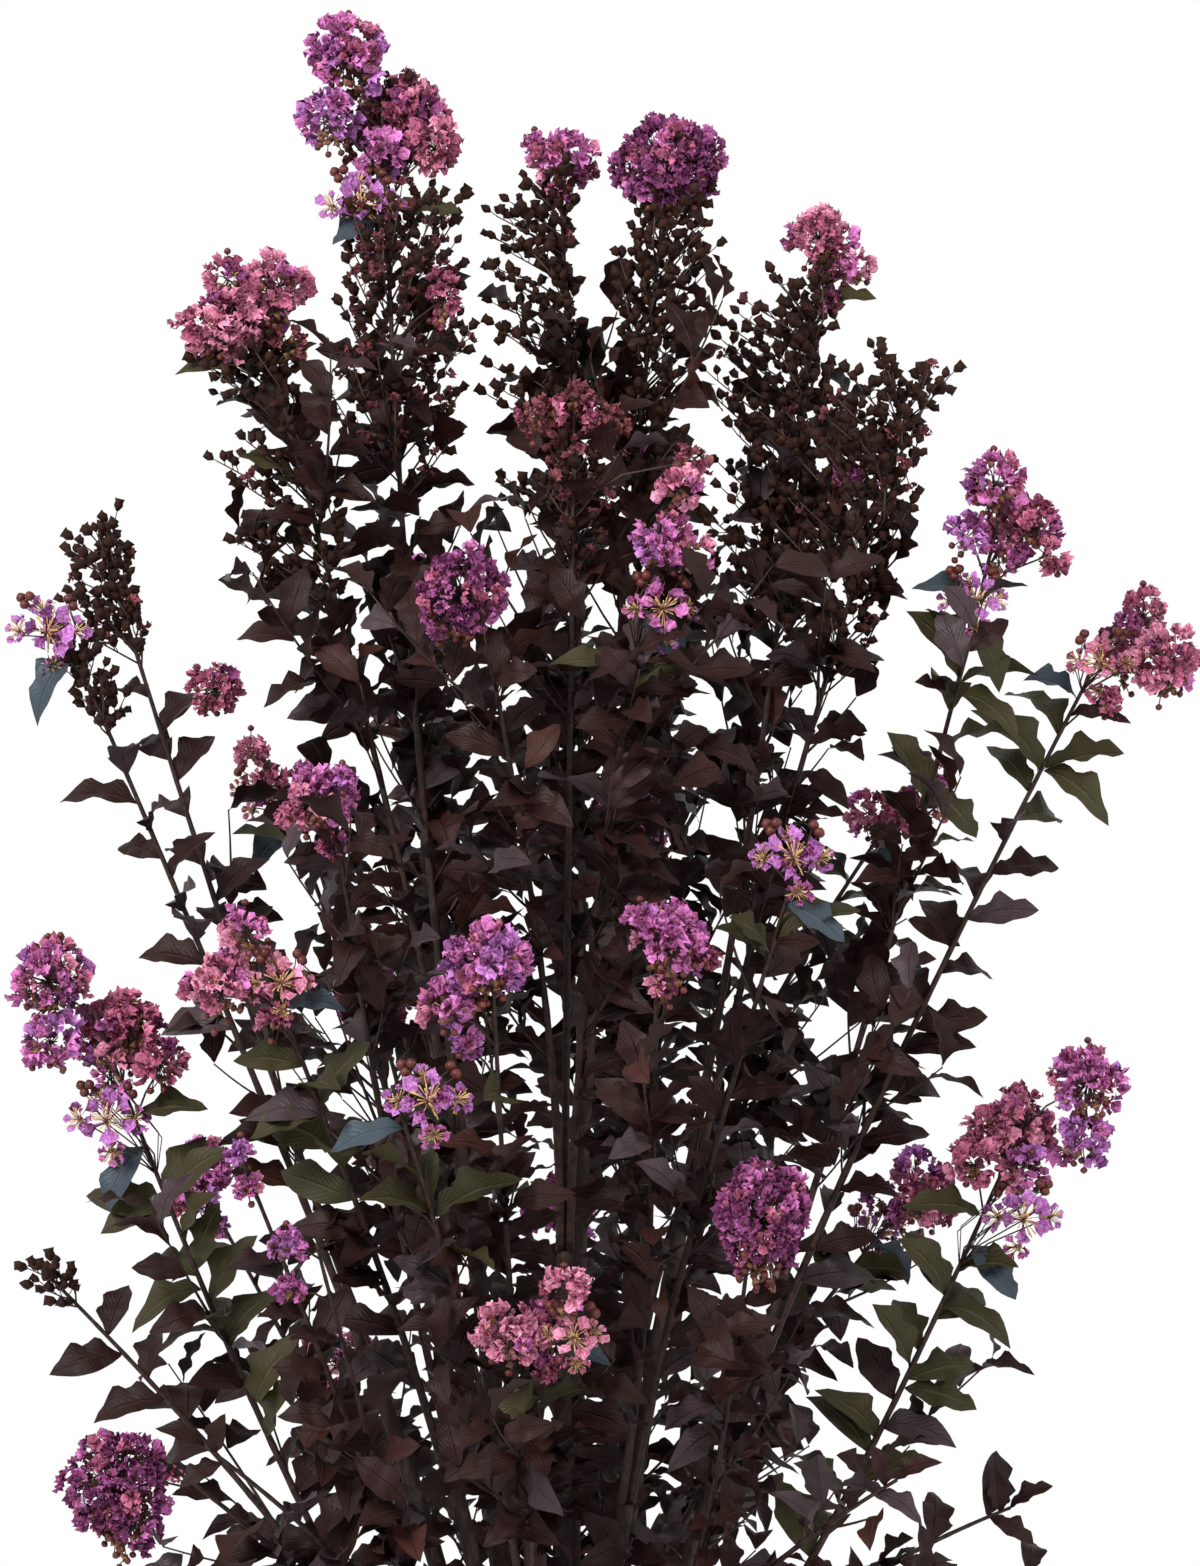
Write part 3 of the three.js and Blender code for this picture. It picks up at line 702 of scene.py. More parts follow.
def grown_twigs(order, stretches, pitch, longest, shortest, foot_radius, ways=None):
    """The twigs of one order. Those of shoots that have ways point about that way, in place of all round."""
    rows = []
    use = 10 * order
    for number, curve, start, end, shortening, thinning, gathering in stretches:
        limb = abs(number)
        count = round((end - start) / (pitch * thinning))
        i = np.arange(count)
        share = (i + within(TWIG_PLACES, chance(limb, i, 1 + use))) / max(count, 1)
        up = start + (end - start) * share**gathering
        turn = 360 * chance(limb, 0, 2 + use) + i * SPIRAL
        if ways:
            turn = ways[shoots[limb - 1].name] + DEEP_SWING * np.sin(turn)
        length = within((longest, shortest), (up / curve.length) ** 2 * shortening)
        length *= within(TWIG_LENGTHS, chance(limb, i, 3 + use))
        rows.append((np.full(count, number), curve.at(up), curve.direction(up), turn, length))
    numbers, feet, axes, turns, lengths = (np.concatenate(column) for column in zip(*rows))
    turns, lengths = grown(feet, axes, turns, lengths, shortest, numbers, twig_samples)
    kept = lengths > 0
    ends = zip(*twig_ends(feet[kept], axes[kept], turns[kept], lengths[kept]))
    return [
        Twig(number, order * 100 + i, Curve(*three), foot_radius)
        for i, (number, three) in enumerate(zip(numbers[kept], ends))
    ]


def shoot_stretches(order):
    """The shoots' twiggy stretches. On the open and outlying ones finer twigs are fewer and stop short."""
    for shoot in shoots:
        outlying = math.hypot(*shoot.curve.points[-1, :2]) > OUTLYING
        kind = "open" if shoot.name in OPEN_SHOOTS else "outlying" if outlying else "inner"
        share, thinning = TWIGGY[kind][min(order, 1)]
        start, end = shoot.curve.length * SHOOT_BARE, shoot.leafy * share
        if kind == "inner":
            end += SPIRE_LEAFY * shoot.spire_height
            yield Stretch(shoot.number, shoot.curve, start, end, INNER_SHORTENING, thinning, INNER_GATHERING)
        else:
            yield Stretch(shoot.number, shoot.curve, start, end, thinning=thinning)


def cane_stretches():
    """The canes' twiggy stretches, each with its first shoot's number, negated."""
    number = 1
    for curve, (_, _, rows) in zip(cane_curves, CANES.values()):
        thinning = CANE_THINNING if shoots[number - 1].name in OPEN_SHOOTS else 1
        yield Stretch(-number, curve, curve.length * CANE_BARE, curve.length, thinning=thinning)
        number += len(rows)


def deep_stretches():
    """The low stretches that have more twigs towards the crown's open middle."""
    for shoot in shoots:
        if shoot.name in DEEP_SHOOTS:
            start, end = (share * shoot.leafy for share in DEEP_STRETCH)
            yield Stretch(shoot.number, shoot.curve, start, end, DEEP_SHORTENING)


twigs = [twig for order, row in enumerate(TWIGS) for twig in grown_twigs(order, shoot_stretches(order), *row)]
twigs += grown_twigs(len(TWIGS), cane_stretches(), *CANE_TWIGS)
twigs += grown_twigs(len(TWIGS) + 1, deep_stretches(), *DEEP_TWIGS, DEEP_SHOOTS)

# ---- The leaves
# Simple leaves in two loose ranks, 50 to 60 mm long on a short stalk, pointed, folded along the midrib,
# arched and wavy at the edge. Most are satin near-black wine, and a few are paler plum, a painted sheen.
# Those near the flowers are larger and olive.

STEM_LEAVES = (30, 42)  # pitch, and how far a leaf turns out of its rank, in degrees
TWIG_LEAVES = (23, 70)
STEM_BARE = 0.14
TWIG_BARE_FOOT = 14
TWIG_BARE_TIP = 3
LEAF_PLACES = (0, 0.4)
LEAF_SPLAY = 56
LEAF_TILT = 0.6
LEAF_ROLL = 56
LEAF_ROLL_STEP = 41.3  # how fast the roll changes as leaves turn round their stem
LEAF_FORWARD = 1.6  # how much the leaves on the open shoots' stems at the sides face the front too
LEAF_LENGTH = 64
LEAF_SIZES = (0.82, 1.1)
LEAF_SHORTENING = 0.08
LEAF_SHORTEST = 30
OLIVE_LARGER = 1.3
OPEN_LARGER = 1.2
OLIVE_LUCK = 0.25  # near the flowers a leaf is olive if its luck is over this
SHEEN_PLUM_LUCK = 0.15  # elsewhere it is plum, a paler grey-lilac that paints sheen on the blade, under this
RUSSET_LUCK = 0.93  # and russet over this
LEAF_SHAPES = 10
LEAF_STATIONS = 12
LEAF_FULLNESS = 0.8
LEAF_WAVES = (1.6, 3.0)
LEAF_HALF_WIDTH = 0.247  # this and the next lines as shares of the leaf's length
LEAF_FOOT_HALF = 0.022
LEAF_DROOPS = (0.25, 0.75)
LEAF_FOLDS = (0.05, 0.6)
LEAF_HOOK = 0.17
LEAF_RISE = 0.34
EDGE_LIFT = 0.07
EDGE_SPREAD = 0.14
STALK_SHARE = 0.04
MOST_TRIANGLES = 190000
OLIVE_SHOOTS = {  # how far down from its leafy stretch's top each shoot has olive leaves
    "left_low": 330, "right_low": 400, "front_low": 90, "front_waist": 60, "left_waist": 200,
    "right_outer": 150, "right_upper": 250, "front_lower_left": 150, "upper_left": 50, "right_spire": 40,
    "tall_left": 50, "front_high_right": 80, "front_right": 70, "back_right": 150, "back_left": 120,
    "back_right_low": 140,
}

# Large leaves at the foot of the flower heads by tint: way out in the upright plane of the shrub's front
# (0 is +X and 90 is up), length, and how far below the head's foot.
COLLARS = {
    "tall_left": {"slate": [(208, 66, -25)], "olive": [(-4, 78, -30)]},
    "upper_left": {"olive": [(156, 92, 20), (45, 50, 10)]},
    "tall_right": {"wine": [(-5, 52, -45), (-42, 54, -25)]},
    "right_spire": {"olive": [(5, 62, 0)]},
    "front_high_right": {"slate": [(-35, 62, -10)], "olive": [(145, 78, 48), (20, 62, 52)]},
    "right_upper": {"slate": [(155, 66, -20)], "olive": [(-55, 68, 8), (118, 88, 60), (-18, 76, 75),
        (120, 86, 190), (-50, 70, 170)]},
    "right_outer": {"slate": [(155, 66, -10)], "olive": [(118, 88, 75), (-28, 84, 70)],
        "wine": [(8, 60, 10)]},
    "left_outer": {"slate": [(222, 74, -5)]},
    "front_right": {"slate": [(-32, 66, 0)], "olive": [(140, 66, 60), (30, 80, 40)]},
    "left_waist": {"slate": [(15, 62, -20)], "olive": [(55, 80, 85), (190, 70, 95)]},
    "left_low": {"slate": [(232, 74, -5)], "olive": [(10, 74, -35), (62, 82, 60), (195, 74, 70),
        (70, 76, 130), (190, 76, 150), (60, 74, 210)]},
    "front_lower_left": {"slate": [(190, 68, -10)], "olive": [(158, 76, 90), (35, 84, 95)]},
    "front_low": {"slate": [(-8, 62, -5)], "olive": [(200, 60, 60)]},
    "right_low": {"slate": [(-52, 72, 0)], "olive": [(165, 78, -30), (118, 80, 60), (-10, 76, 70),
        (122, 80, 140), (-15, 78, 160), (120, 74, 220)]},
    "back_right": {"slate": [(-30, 66, 0)], "olive": [(150, 78, 40)]},
    "back_left": {"slate": [(215, 66, 0)], "olive": [(20, 78, 40)]},
    "back_right_low": {"slate": [(-40, 66, 0)], "olive": [(160, 78, 30), (10, 74, 70)]},
    "back_left_low": {"olive": [(195, 78, 20)]},
    "back_crown": {"olive": [(10, 66, 0)]},
    "right_lowest": {"wine": [(25, 50, 2), (88, 42, 12), (-28, 52, 24)]},
    "front_right_lowest": {"wine": [(40, 48, 2), (100, 44, 14)], "plum": [(-20, 50, 26)]},
    "front_left_lowest": {"wine": [(150, 48, 2), (80, 44, 14), (205, 50, 26)]},
}
COLLAR_FORWARD = 0.35
COLLAR_FACING = 2.2

LEAF_TINTS = {  # colour, midrib and roughness
    "wine": ((0.0120, 0.0038, 0.0031), (0.036, 0.013, 0.011), 0.46),
    # plum is painted sheen: a paler grey-lilac colour where light glances off a glossy blade
    "plum": ((0.030, 0.0190, 0.0215), (0.052, 0.034, 0.039), 0.34),
    "russet": ((0.0235, 0.0070, 0.0052), (0.052, 0.018, 0.014), 0.46),
    "olive": ((0.024, 0.020, 0.008), (0.075, 0.068, 0.034), 0.46),
    "slate": ((0.022, 0.030, 0.038), (0.060, 0.075, 0.088), 0.36),
}

# See-through gaps of the crown, as seen from the front: place across and up, width and height.
GAPS = [
    (-350, 765, 80, 100), (-255, 815, 80, 80), (-330, 925, 130, 75), (-190, 905, 60, 90),
    (-385, 1000, 70, 50), (-330, 685, 80, 70), (-285, 590, 75, 70), (-320, 525, 80, 70),
    (-225, 980, 60, 60), (-480, 735, 60, 60), (-470, 570, 60, 50), (-325, 1180, 50, 60),
    (-270, 1100, 50, 50), (-185, 1240, 55, 70), (-110, 1310, 50, 50), (-60, 1400, 50, 60),
    (-30, 1470, 50, 60), (-30, 1655, 40, 60), (40, 1695, 50, 60), (45, 1390, 45, 60),
    (150, 1290, 50, 60), (170, 1175, 75, 60), (170, 1060, 50, 75), (275, 965, 85, 65),
    (300, 1375, 55, 60), (270, 1300, 70, 55), (245, 1240, 60, 50), (430, 1300, 95, 110),
    (405, 1185, 60, 60), (405, 745, 80, 80), (340, 680, 55, 75), (315, 575, 65, 60),
    (335, 505, 60, 50), (285, 470, 60, 70), (405, 460, 80, 50),
]


def leaf_form(draws):
    """A blade 1 long, drawn as three points across each station, with a stalk at its foot."""
    waves = draws.uniform(*LEAF_WAVES)
    phase = draws.uniform(0, 2 * math.pi, 2)
    droop = draws.uniform(*LEAF_DROOPS)
    fold = draws.uniform(*LEAF_FOLDS)
    hook = draws.uniform(-LEAF_HOOK, LEAF_HOOK)
    points, marks, faces = [], [], []
    for station in np.arange(LEAF_STATIONS) / LEAF_STATIONS:
        half = max(LEAF_FOOT_HALF, LEAF_HALF_WIDTH * math.sin(math.pi * station) ** LEAF_FULLNESS)
        for side in (-1, 0, 1):
            wave = math.sin(waves * 2 * math.pi * station + phase[0 if side < 0 else 1]) * abs(side)
            lift = fold * half * abs(side) + EDGE_LIFT * wave * min(1, 4 * half)
            lift = lift - droop * station**2 + LEAF_RISE * station
            across = side * half * (1 + EDGE_SPREAD * wave) + hook * station**2
            points.append((across, STALK_SHARE + (1 - STALK_SHARE) * station, lift))
            marks.append((side, station, 0))
    for here in range(0, len(points) - 3, 3):
        faces += [(here, here + 1, here + 4, here + 3), (here + 1, here + 2, here + 5, here + 4)]
    tip = len(points)
    points.append((hook * 1.15, 1.0, LEAF_RISE - droop))
    marks.append((0, 1, 0))
    faces += [(tip - 3, tip - 2, tip), (tip - 2, tip - 1, tip)]
    points += [(-0.012, -0.02, 0), (0.012, -0.02, 0), (0, -0.02, -0.02), (0, 0.07, -0.006)]
    marks += [(0, 0, 0)] * 4
    faces += [(tip + 1, tip + 2, tip + 4), (tip + 2, tip + 3, tip + 4), (tip + 3, tip + 1, tip + 4)]
    return Form(points, [i for face in faces for i in face], [len(face) for face in faces], marks)


def leaf_axes(axes, turns, forward=0.0):
    """A leaf's way out, its way across, and the way its upper face looks: to the light, then rolled about."""
    out = splayed(axes, turns, LEAF_SPLAY)
    face = square_to(np.array([0, 0, 1.0]) + axes * LEAF_TILT + np.multiply.outer(forward, [0, -1.0, 0]), out)
    face = turned(face, out, LEAF_ROLL * np.sin(np.radians(turns * LEAF_ROLL_STEP)) / (1 + 2 * forward))
    return out, np.cross(out, face), face


def leaf_samples(feet, axes, turns, lengths):
    out, across, _ = leaf_axes(axes, turns)
    reach = lengths[:, None]
    samples = [feet + out * reach]
    for share in (0.25, 0.75):
        samples += [feet + out * reach * share + across * reach * 0.25 * way for way in (-1, 1)]
    return np.stack(samples, 1)


def framed(across, along, face, size, feet):
    """Frames whose X, Y and Z are the given directions, scaled, at the given feet."""
    scale = np.asarray(size, float).reshape(-1, 1)
    return np.stack([across * scale, along * scale, face * scale, feet], -1)


class Batch:
    """Frames or paths of growths that are alike, and the number of the shoot that each is on."""

    def __init__(self):
        self.frames = []
        self.numbers = []

    def add(self, frames, numbers):
        """More frames, all with one number or each with its own."""
        self.frames.append(frames)
        self.numbers.append(np.broadcast_to(numbers, len(frames)))


def copies(form, frames, tones):
    """A form at each of several frames (count, 3, 4), with its tone as the third mark."""
    points = np.einsum("kij,nj->kni", frames[:, :, :3], form.points) + frames[:, None, :, 3]
    offsets = np.arange(len(frames))[:, None] * len(form.points)
    marks = np.tile(form.marks, (len(frames), 1, 1))
    marks[:, :, 2] = tones[:, None]
    sizes = np.tile(form.sizes, len(frames))
    return Form(points.reshape(-1, 3), (form.corners + offsets).ravel(), sizes, marks.reshape(-1, 3))


def dealt(name, forms, batch, material):
    """Copies of forms dealt out in turn over a batch's frames, in pieces of under 200,000 triangles."""
    frames, numbers = np.concatenate(batch.frames), np.concatenate(batch.numbers)
    spread = chance(np.arange(len(frames)), 3, 4)
    most = MOST_TRIANGLES // max(int((form.sizes - 2).sum()) for form in forms)
    for part in range(0, len(frames), most):
        chosen = slice(part, part + most)
        mine, tones = frames[chosen], spread[chosen]
        made = joined([
            copies(form, mine[i::len(forms)], tones[i::len(forms)])
            for i, form in enumerate(forms) if len(mine[i::len(forms)])
        ])
        suffix = f"_{part // most + 1}" if len(frames) > most else ""
        new_piece(name + suffix, made, material, nodes_of(numbers[chosen]))


def mark_parts(shade):
    """The three numbers of the mark at each point."""
    mark = shade.node("Attribute", {"attribute_name": "mark"}, output="Vector")
    return [shade.node("SeparateXYZ", None, {0: mark}, axis) for axis in "XYZ"]


def leaf_finish(colour, rib, roughness):
    """Satin blade with a paler midrib and side veins, its tone a little different from leaf to leaf."""
    def dress(shade):
        across, along, tone = mark_parts(shade)
        across = shade.maths("ABSOLUTE", across)
        midrib = 1 - across.stepped(0.03, 0.14)
        veins = shade.maths("SINE", along * 60 + across * -22)
        mottle = shade.noise(70.0)
        lighter = tuple(min(1, channel * 1.9) for channel in colour)
        blade = (tone * 0.6 + mottle * 0.3).mixed(colour, lighter)
        base = (midrib * 0.5).mixed(blade, rib)
        relief = midrib * 0.8 + veins * 0.06 + mottle * 0.8
        return {"Base Color": base, "Roughness": roughness + mottle * 0.2, "Normal": relief.bumped(0.0016)}
    return dress


def in_gap(points):
    """Whether each point shows in one of the gaps."""
    away = 1 - points[:, 1] * MM / EYE[1]
    across = EYE[0] / MM + (points[:, 0] - EYE[0] / MM) / away
    up = EYE[2] / MM + (points[:, 2] - EYE[2] / MM) / away
    gaps = [((across - x) * 2 / wide) ** 2 + ((up - z) * 2 / high) ** 2 < 1 for x, z, wide, high in GAPS]
    return np.any(gaps, 0)


# Where each limb has leaves: the stems with rank 0, then the twigs.
carriers = []
for shoot in shoots:
    top = shoot.leafy + SPIRE_LEAFY * shoot.spire_height
    carriers.append((shoot.number, 0, shoot.curve, shoot.curve.length * STEM_BARE, top))
for twig in twigs:
    top = twig.curve.length - TWIG_BARE_TIP
    carriers.append((twig.number, twig.rank + 1, twig.curve, TWIG_BARE_FOOT, top))
leaf_rows = []
for number, rank, curve, start, end in carriers:
    pitch, sway = (TWIG_LEAVES if rank else STEM_LEAVES)
    i = np.arange(max(1, int((end - start) / pitch)))
    leaf = rank * 40 + i
    up = start + (i + within(LEAF_PLACES, chance(number, leaf, 5))) * pitch
    turn = 180 * (i + np.round(chance(number, rank, 4))) + sway * (2 * chance(number, leaf, 6) - 1)
    size = (1 - LEAF_SHORTENING * up / curve.length) * within(LEAF_SIZES, chance(number, leaf, 8))
    shoot = shoots[abs(number) - 1]
    to_tip = np.linalg.norm(curve.at(up) - shoot.curve.at(shoot.leafy), axis=-1)
    limb = np.full(len(i), number), np.full(len(i), rank)
    leaf_rows.append((*limb, up, curve.at(up), curve.direction(up), turn, size * LEAF_LENGTH, to_tip))
columns = [np.concatenate(column) for column in zip(*leaf_rows)]
numbers, ranks, ups, feet, axes, turns, lengths, to_tip = columns
owners = np.abs(numbers) - 1
luck = chance(np.arange(len(feet)), 7, 7)
olive_reach = np.array([OLIVE_SHOOTS.get(shoot.name, 0) for shoot in shoots])[owners]
olive = (to_tip < olive_reach) & (luck > OLIVE_LUCK) & (ranks == 0)
open_side = np.array([shoot.name in OPEN_SHOOTS and not shoot.name.startswith("front") for shoot in shoots])
open_leaf = open_side[owners] & (ranks == 0)
lengths = lengths * np.select([olive, open_leaf], [OLIVE_LARGER, OPEN_LARGER], 1)
turns, lengths = grown(feet, axes, turns, lengths, LEAF_SHORTEST, numbers, leaf_samples)
middles = feet + leaf_axes(axes, turns)[0] * lengths[:, None] * 0.5
kept = (lengths > 0) & (~in_gap(middles) | olive)
out, across, face = leaf_axes(axes[kept], turns[kept], LEAF_FORWARD * open_leaf[kept])
frames = framed(across, out, face, lengths[kept], feet[kept])
tints = np.select([olive, luck < SHEEN_PLUM_LUCK, luck > RUSSET_LUCK], ["olive", "plum", "russet"], "wine")
leaves = {tint: Batch() for tint in LEAF_TINTS}
for tint, batch in leaves.items():
    chosen = tints[kept] == tint
    batch.add(frames[chosen], numbers[kept][chosen])

shoot_by_name = {shoot.name: shoot for shoot in shoots}
for name, by_tint in COLLARS.items():
    shoot = shoot_by_name[name]
    forward = COLLAR_FORWARD if name.startswith("back") else -COLLAR_FORWARD
    for tint, rows in by_tint.items():
        for way, length, below in rows:
            foot = shoot.curve.at(np.array([shoot.curve.length - shoot.bloom_height - below]))
            out = unit(np.array([math.cos(math.radians(way)), forward, math.sin(math.radians(way))]))
            look = square_to(np.array([0.0, COLLAR_FACING * forward, 1.0]), out)
            collar = framed(np.cross(out, look)[None], out[None], look[None], length, foot)
            leaves[tint].add(collar, shoot.number)

draws = np.random.default_rng(5)
leaf_forms = [leaf_form(draws) for _ in range(LEAF_SHAPES)]
for tint, (colour, rib, roughness) in LEAF_TINTS.items():
    finish = new_material(f"{tint}_leaf", leaf_finish(colour, rib, roughness), IOR=1.26)
    dealt(f"leaves_{tint}", leaf_forms, leaves[tint], finish)

# Each twig ends at its highest leaf, and one without leaves is left out.
highest = {}
for number, rank, up in zip(numbers[kept], ranks[kept], ups[kept]):
    highest[number, rank] = max(up, highest.get((number, rank), 0))
leafy_twigs = [(twig, highest.get((twig.number, twig.rank + 1), 0)) for twig in twigs]
leafy_twigs = [(twig, up) for twig, up in leafy_twigs if up]
twig_steps = np.linspace(0, 1, TWIG_RINGS)
twig_paths = np.stack([twig.curve.at(twig_steps * up) for twig, up in leafy_twigs])
twig_radii = np.stack([within((twig.foot_radius, TWIG_TIP), twig_steps) for twig, _ in leafy_twigs])
twig_nodes = nodes_of(twig.number for twig, _ in leafy_twigs)
new_piece("side_twigs", tubes(twig_paths, twig_radii, TWIG_SIDES), young_bark, twig_nodes)

# ---- The capsule spires
# Many stems carry a lacy spire of seed capsules below their flowers: round brown cups, each on its own thin
# stalk, on side branches that shorten towards the top. A few still hold a withered flower.

CAPSULE_SPLAY = 46
CAPSULE_PITCH = 5.2
CAPSULE_SPACING = 9
BRANCH_TOP_SHARE = 0.5
BRANCH_LENGTHS = (0.55, 1.05)
BRANCH_RADII = (1.3, 0.8)
BRANCH_RISE = 0.25
BESIDE_TAPER = (0.7, 0.75)  # share at the flowers' foot, and what it loses in a spire's height beside them
FIRST_CAPSULE = 0.28  # lowest place of a capsule up its side branch
CAPSULE_OUT = 0.5  # how much a capsule points along its branch, about it, and up
CAPSULE_SWAY = 0.75
CAPSULE_UP = 0.8
SPIRE_THINNING = 0.4  # share of the side branches that is left out down among the leaves
CAPSULE_STALKS = (6, 12)
CAPSULE_STALK_RADII = (0.65, 0.6)
CAPSULE_SIZES = (0.78, 1.15)
WITHERED_SIZE = 0.55
STALK_RINGS = 3
STALK_SIDES = 3
FEW_WITHERED = 0.01  # share of the capsule stalks that hold a withered flower, on the shoots not named next
WITHERED = {"tall_left": 0.30, "front_crown": 0.5, "left_capsules": 0.10, "right_capsules": 0.03}
SIDE_CAPSULES = {"tall_left": 0.62}  # share of the head's height that has capsules round it too
SPIRES = {  # how far a spire leans across, how far it goes on down among the leaves, and how much wider it is
    "tall_left": (8, 150, 1.3), "tall_middle": (-38, 170, 1.2), "tall_right": (8, 170, 1.1),
    "right_spire": (-38, 190, 1.2), "right_capsules": (-38, 110, 1.0), "front_crown": (0, 90, 1.0),
    "upper_left": (-30, 200, 1.3), "left_capsules": (-14, 0, 1.0), "left_outer": (6, 0, 1.0),
    "back_crown": (0, 90, 1.0), "back_left_high": (0, 90, 1.0),
}
CAPSULE_SIDES = 6
CAPSULE_RIB = 0.16
SPLIT_CAPSULE = ([0, 4.4, 8.4, 11.4], [1.4, 4.5, 4.1, 4.3], [0, 1, 0.6, 2.4])  # levels, radii, ribs' depths
SHUT_CAPSULE = ([0, 4.4, 8.4, 12.8], [1.4, 4.4, 3.6, 0.35], [0, 1, 0.6, 1])


def turned_form(levels, radii, sides, relief):
    """A small solid of revolution along Z."""
    path = np.stack([np.zeros(len(levels)), np.zeros(len(levels)), levels], -1)[None]
    return tubes(path, np.array([radii], float), sides, relief)


def capsule_form(draws, levels, radii, ribbed):
    """A ribbed capsule on its cup, pointed while it is shut, and toothed round its rim once it has split."""
    ribs = 1 + CAPSULE_RIB * np.cos(np.linspace(0, 2 * np.pi, CAPSULE_SIDES, endpoint=False) * 3 + 0.6)
    relief = 1 + (ribs - 1) * np.array(ribbed)[:, None]
    radii = np.array(radii) * draws.uniform(0.88, 1.12)
    return turned_form(np.array(levels), radii, CAPSULE_SIDES, relief[None])


def frame_along(axes, feet, size, spin):
    """Frames whose Z is the given axes, spun round them by an angle each."""
    axes, feet = np.atleast_2d(axes, feet)
    across = turned(square_to(np.array([0.31, 0.95, 0.05]), axes), axes, spin)
    return framed(across, np.cross(axes, across), axes, size, feet)


def bent_stalks(feet, axes, tips, bow):
    """Thin stalks that leave along their axes and bend to their tips."""
    feet, axes, tips = np.atleast_2d(feet, axes, tips)
    share = np.linspace(0, 1, STALK_RINGS)[:, None]
    bends = feet + axes * np.linalg.norm(tips - feet, axis=-1, keepdims=True) * bow
    return bent(feet[:, None], bends[:, None], tips[:, None], share)


stalks = Batch()
stalk_radii = []


def add_stalks(feet, axes, tips, radii, bow, number):
    """Stalks with one radius at the foot and one at the tip, as their paths."""
    paths = bent_stalks(feet, axes, tips, bow)
    stalks.add(paths, number)
    stalk_radii.append(np.tile(np.linspace(*radii, STALK_RINGS), (len(paths), 1)))
    return paths


draws = np.random.default_rng(17)
capsules, withered = Batch(), Batch()
for shoot in shoots:
    beside = SIDE_CAPSULES.get(shoot.name, 0) * shoot.bloom_height
    lean, lower, wider = SPIRES.get(shoot.name, (0, 0, 1.0))
    height = lower + shoot.spire_height + beside if shoot.spire_height else 0
    for i in range(int(height / CAPSULE_PITCH)):
        up = shoot.leafy - lower + (i + 0.5) * CAPSULE_PITCH
        down = 1 - (up - shoot.leafy) / shoot.spire_height  # 0 at the flowers, 1 at the leaves
        foot, axis = shoot.curve.at(np.array([up])), shoot.curve.direction(np.array([up]))
        turn = np.array([360 * chance(shoot.number, 0, 7) + i * SPIRAL])
        way = splayed(axis, turn, CAPSULE_SPLAY)
        if down < 0 and way[0, 1] < 0 or down > 1 and draws.uniform() < SPIRE_THINNING:
            continue
        share = min(1.0, math.sqrt(down)) if down > 0 else BESIDE_TAPER[0] + BESIDE_TAPER[1] * down
        reach = shoot.spire_width / 2 * within((BRANCH_TOP_SHARE, 1), share)
        reach *= wider * draws.uniform(*BRANCH_LENGTHS) / math.sin(math.radians(CAPSULE_SPLAY))
        tip = foot + unit(way + axis * BRANCH_RISE) * reach + [lean * min(1.0, max(0.0, down) * 3), 0, 0]
        branch = add_stalks(foot, way, tip, BRANCH_RADII, 0.5, shoot.number)[0]
        count = max(3, round(reach / CAPSULE_SPACING) + 1)
        places = np.linspace(1, FIRST_CAPSULE, count) + draws.uniform(-0.04, 0.04, count)
        rings = np.linspace(0, 1, STALK_RINGS)
        starts = np.stack([np.interp(places, rings, column) for column in branch.T], -1)
        sway = draws.normal(0, CAPSULE_SWAY, (count, 3))
        spread = unit(tip - foot) * CAPSULE_OUT + sway + [0, 0, CAPSULE_UP]
        spread[0] = (tip - foot)[0] / reach
        spread = unit(spread)
        ends = starts + spread * draws.uniform(*CAPSULE_STALKS, (count, 1))
        add_stalks(starts, spread, ends, CAPSULE_STALK_RADII, 0.5, shoot.number)
        size, spin = draws.uniform(*CAPSULE_SIZES, count), draws.uniform(0, 360, count)
        old = draws.uniform(0, 1, count) < WITHERED.get(shoot.name, FEW_WITHERED)
        capsules.add(frame_along(spread, ends - spread, size, spin)[~old], shoot.number)
        withered.add(frame_along(spread, ends - spread, WITHERED_SIZE * size, spin)[old], shoot.number)


def capsule_finish(shade):
    _, along, tone = mark_parts(shade)
    grain = shade.noise(380.0)
    pale = grain.stepped(0.4, 0.75) * 0.5 + tone * 0.4
    worn = pale.mixed((0.009, 0.0024, 0.0013), (0.046, 0.0125, 0.0055))
    base = (along.stepped(0.75, 1.0) * 0.6).mixed(worn, (0.010, 0.004, 0.003))
    return {"Base Color": base, "Roughness": 0.6 + grain * 0.25, "Normal": grain.bumped(0.0008)}


capsule_kinds = (SPLIT_CAPSULE, SHUT_CAPSULE, SPLIT_CAPSULE, SPLIT_CAPSULE)
capsule_forms = [capsule_form(draws, *kind) for kind in capsule_kinds]
capsule_brown = new_material("capsule_brown", capsule_finish, IOR=1.27)
dealt("seed_capsules", capsule_forms, capsules, capsule_brown)

# ---- The flower heads
# Each head is a cone of crinkled flowers in a few tight clusters. A flower has six frilled petals, each on a
# thin claw, round a tuft of golden stamens, in a brown cup. Open flowers and round buds show at the edges.

UP = np.array([0.0, 0, 1])
FLORET = (6, (28, 100), 48)  # claw, and how far petals lean out of upright and twist, in degrees
OPEN_FLORET = (13, (55, 100), 38)
BLADE = [(0.0, 1.3), (3.6, 5.2), (8.4, 7.0), (12.8, 5.0)]  # distance beyond the claw and half width
FRILL = (0.3, 1.5, 2.4, 3.0)
PETAL_SIZES = (0.78, 1.15)
PETAL_RISES = (35, 55)
PETAL_TURN = 14
PETAL_ROUNDING = 3.6  # how much shorter than its middle a petal's sides are
PETAL_CUPPING = (-0.01, 0.05)
FRILL_SIZES = (0.4, 1.5)
FRAYING = 0.9  # how far the points of a petal stray along it, and across it
SIDE_FRAYING = 0.8
FLORET_SHAPES = 8
OPEN_SHAPES = 5
SMALL_SHAPES = 3
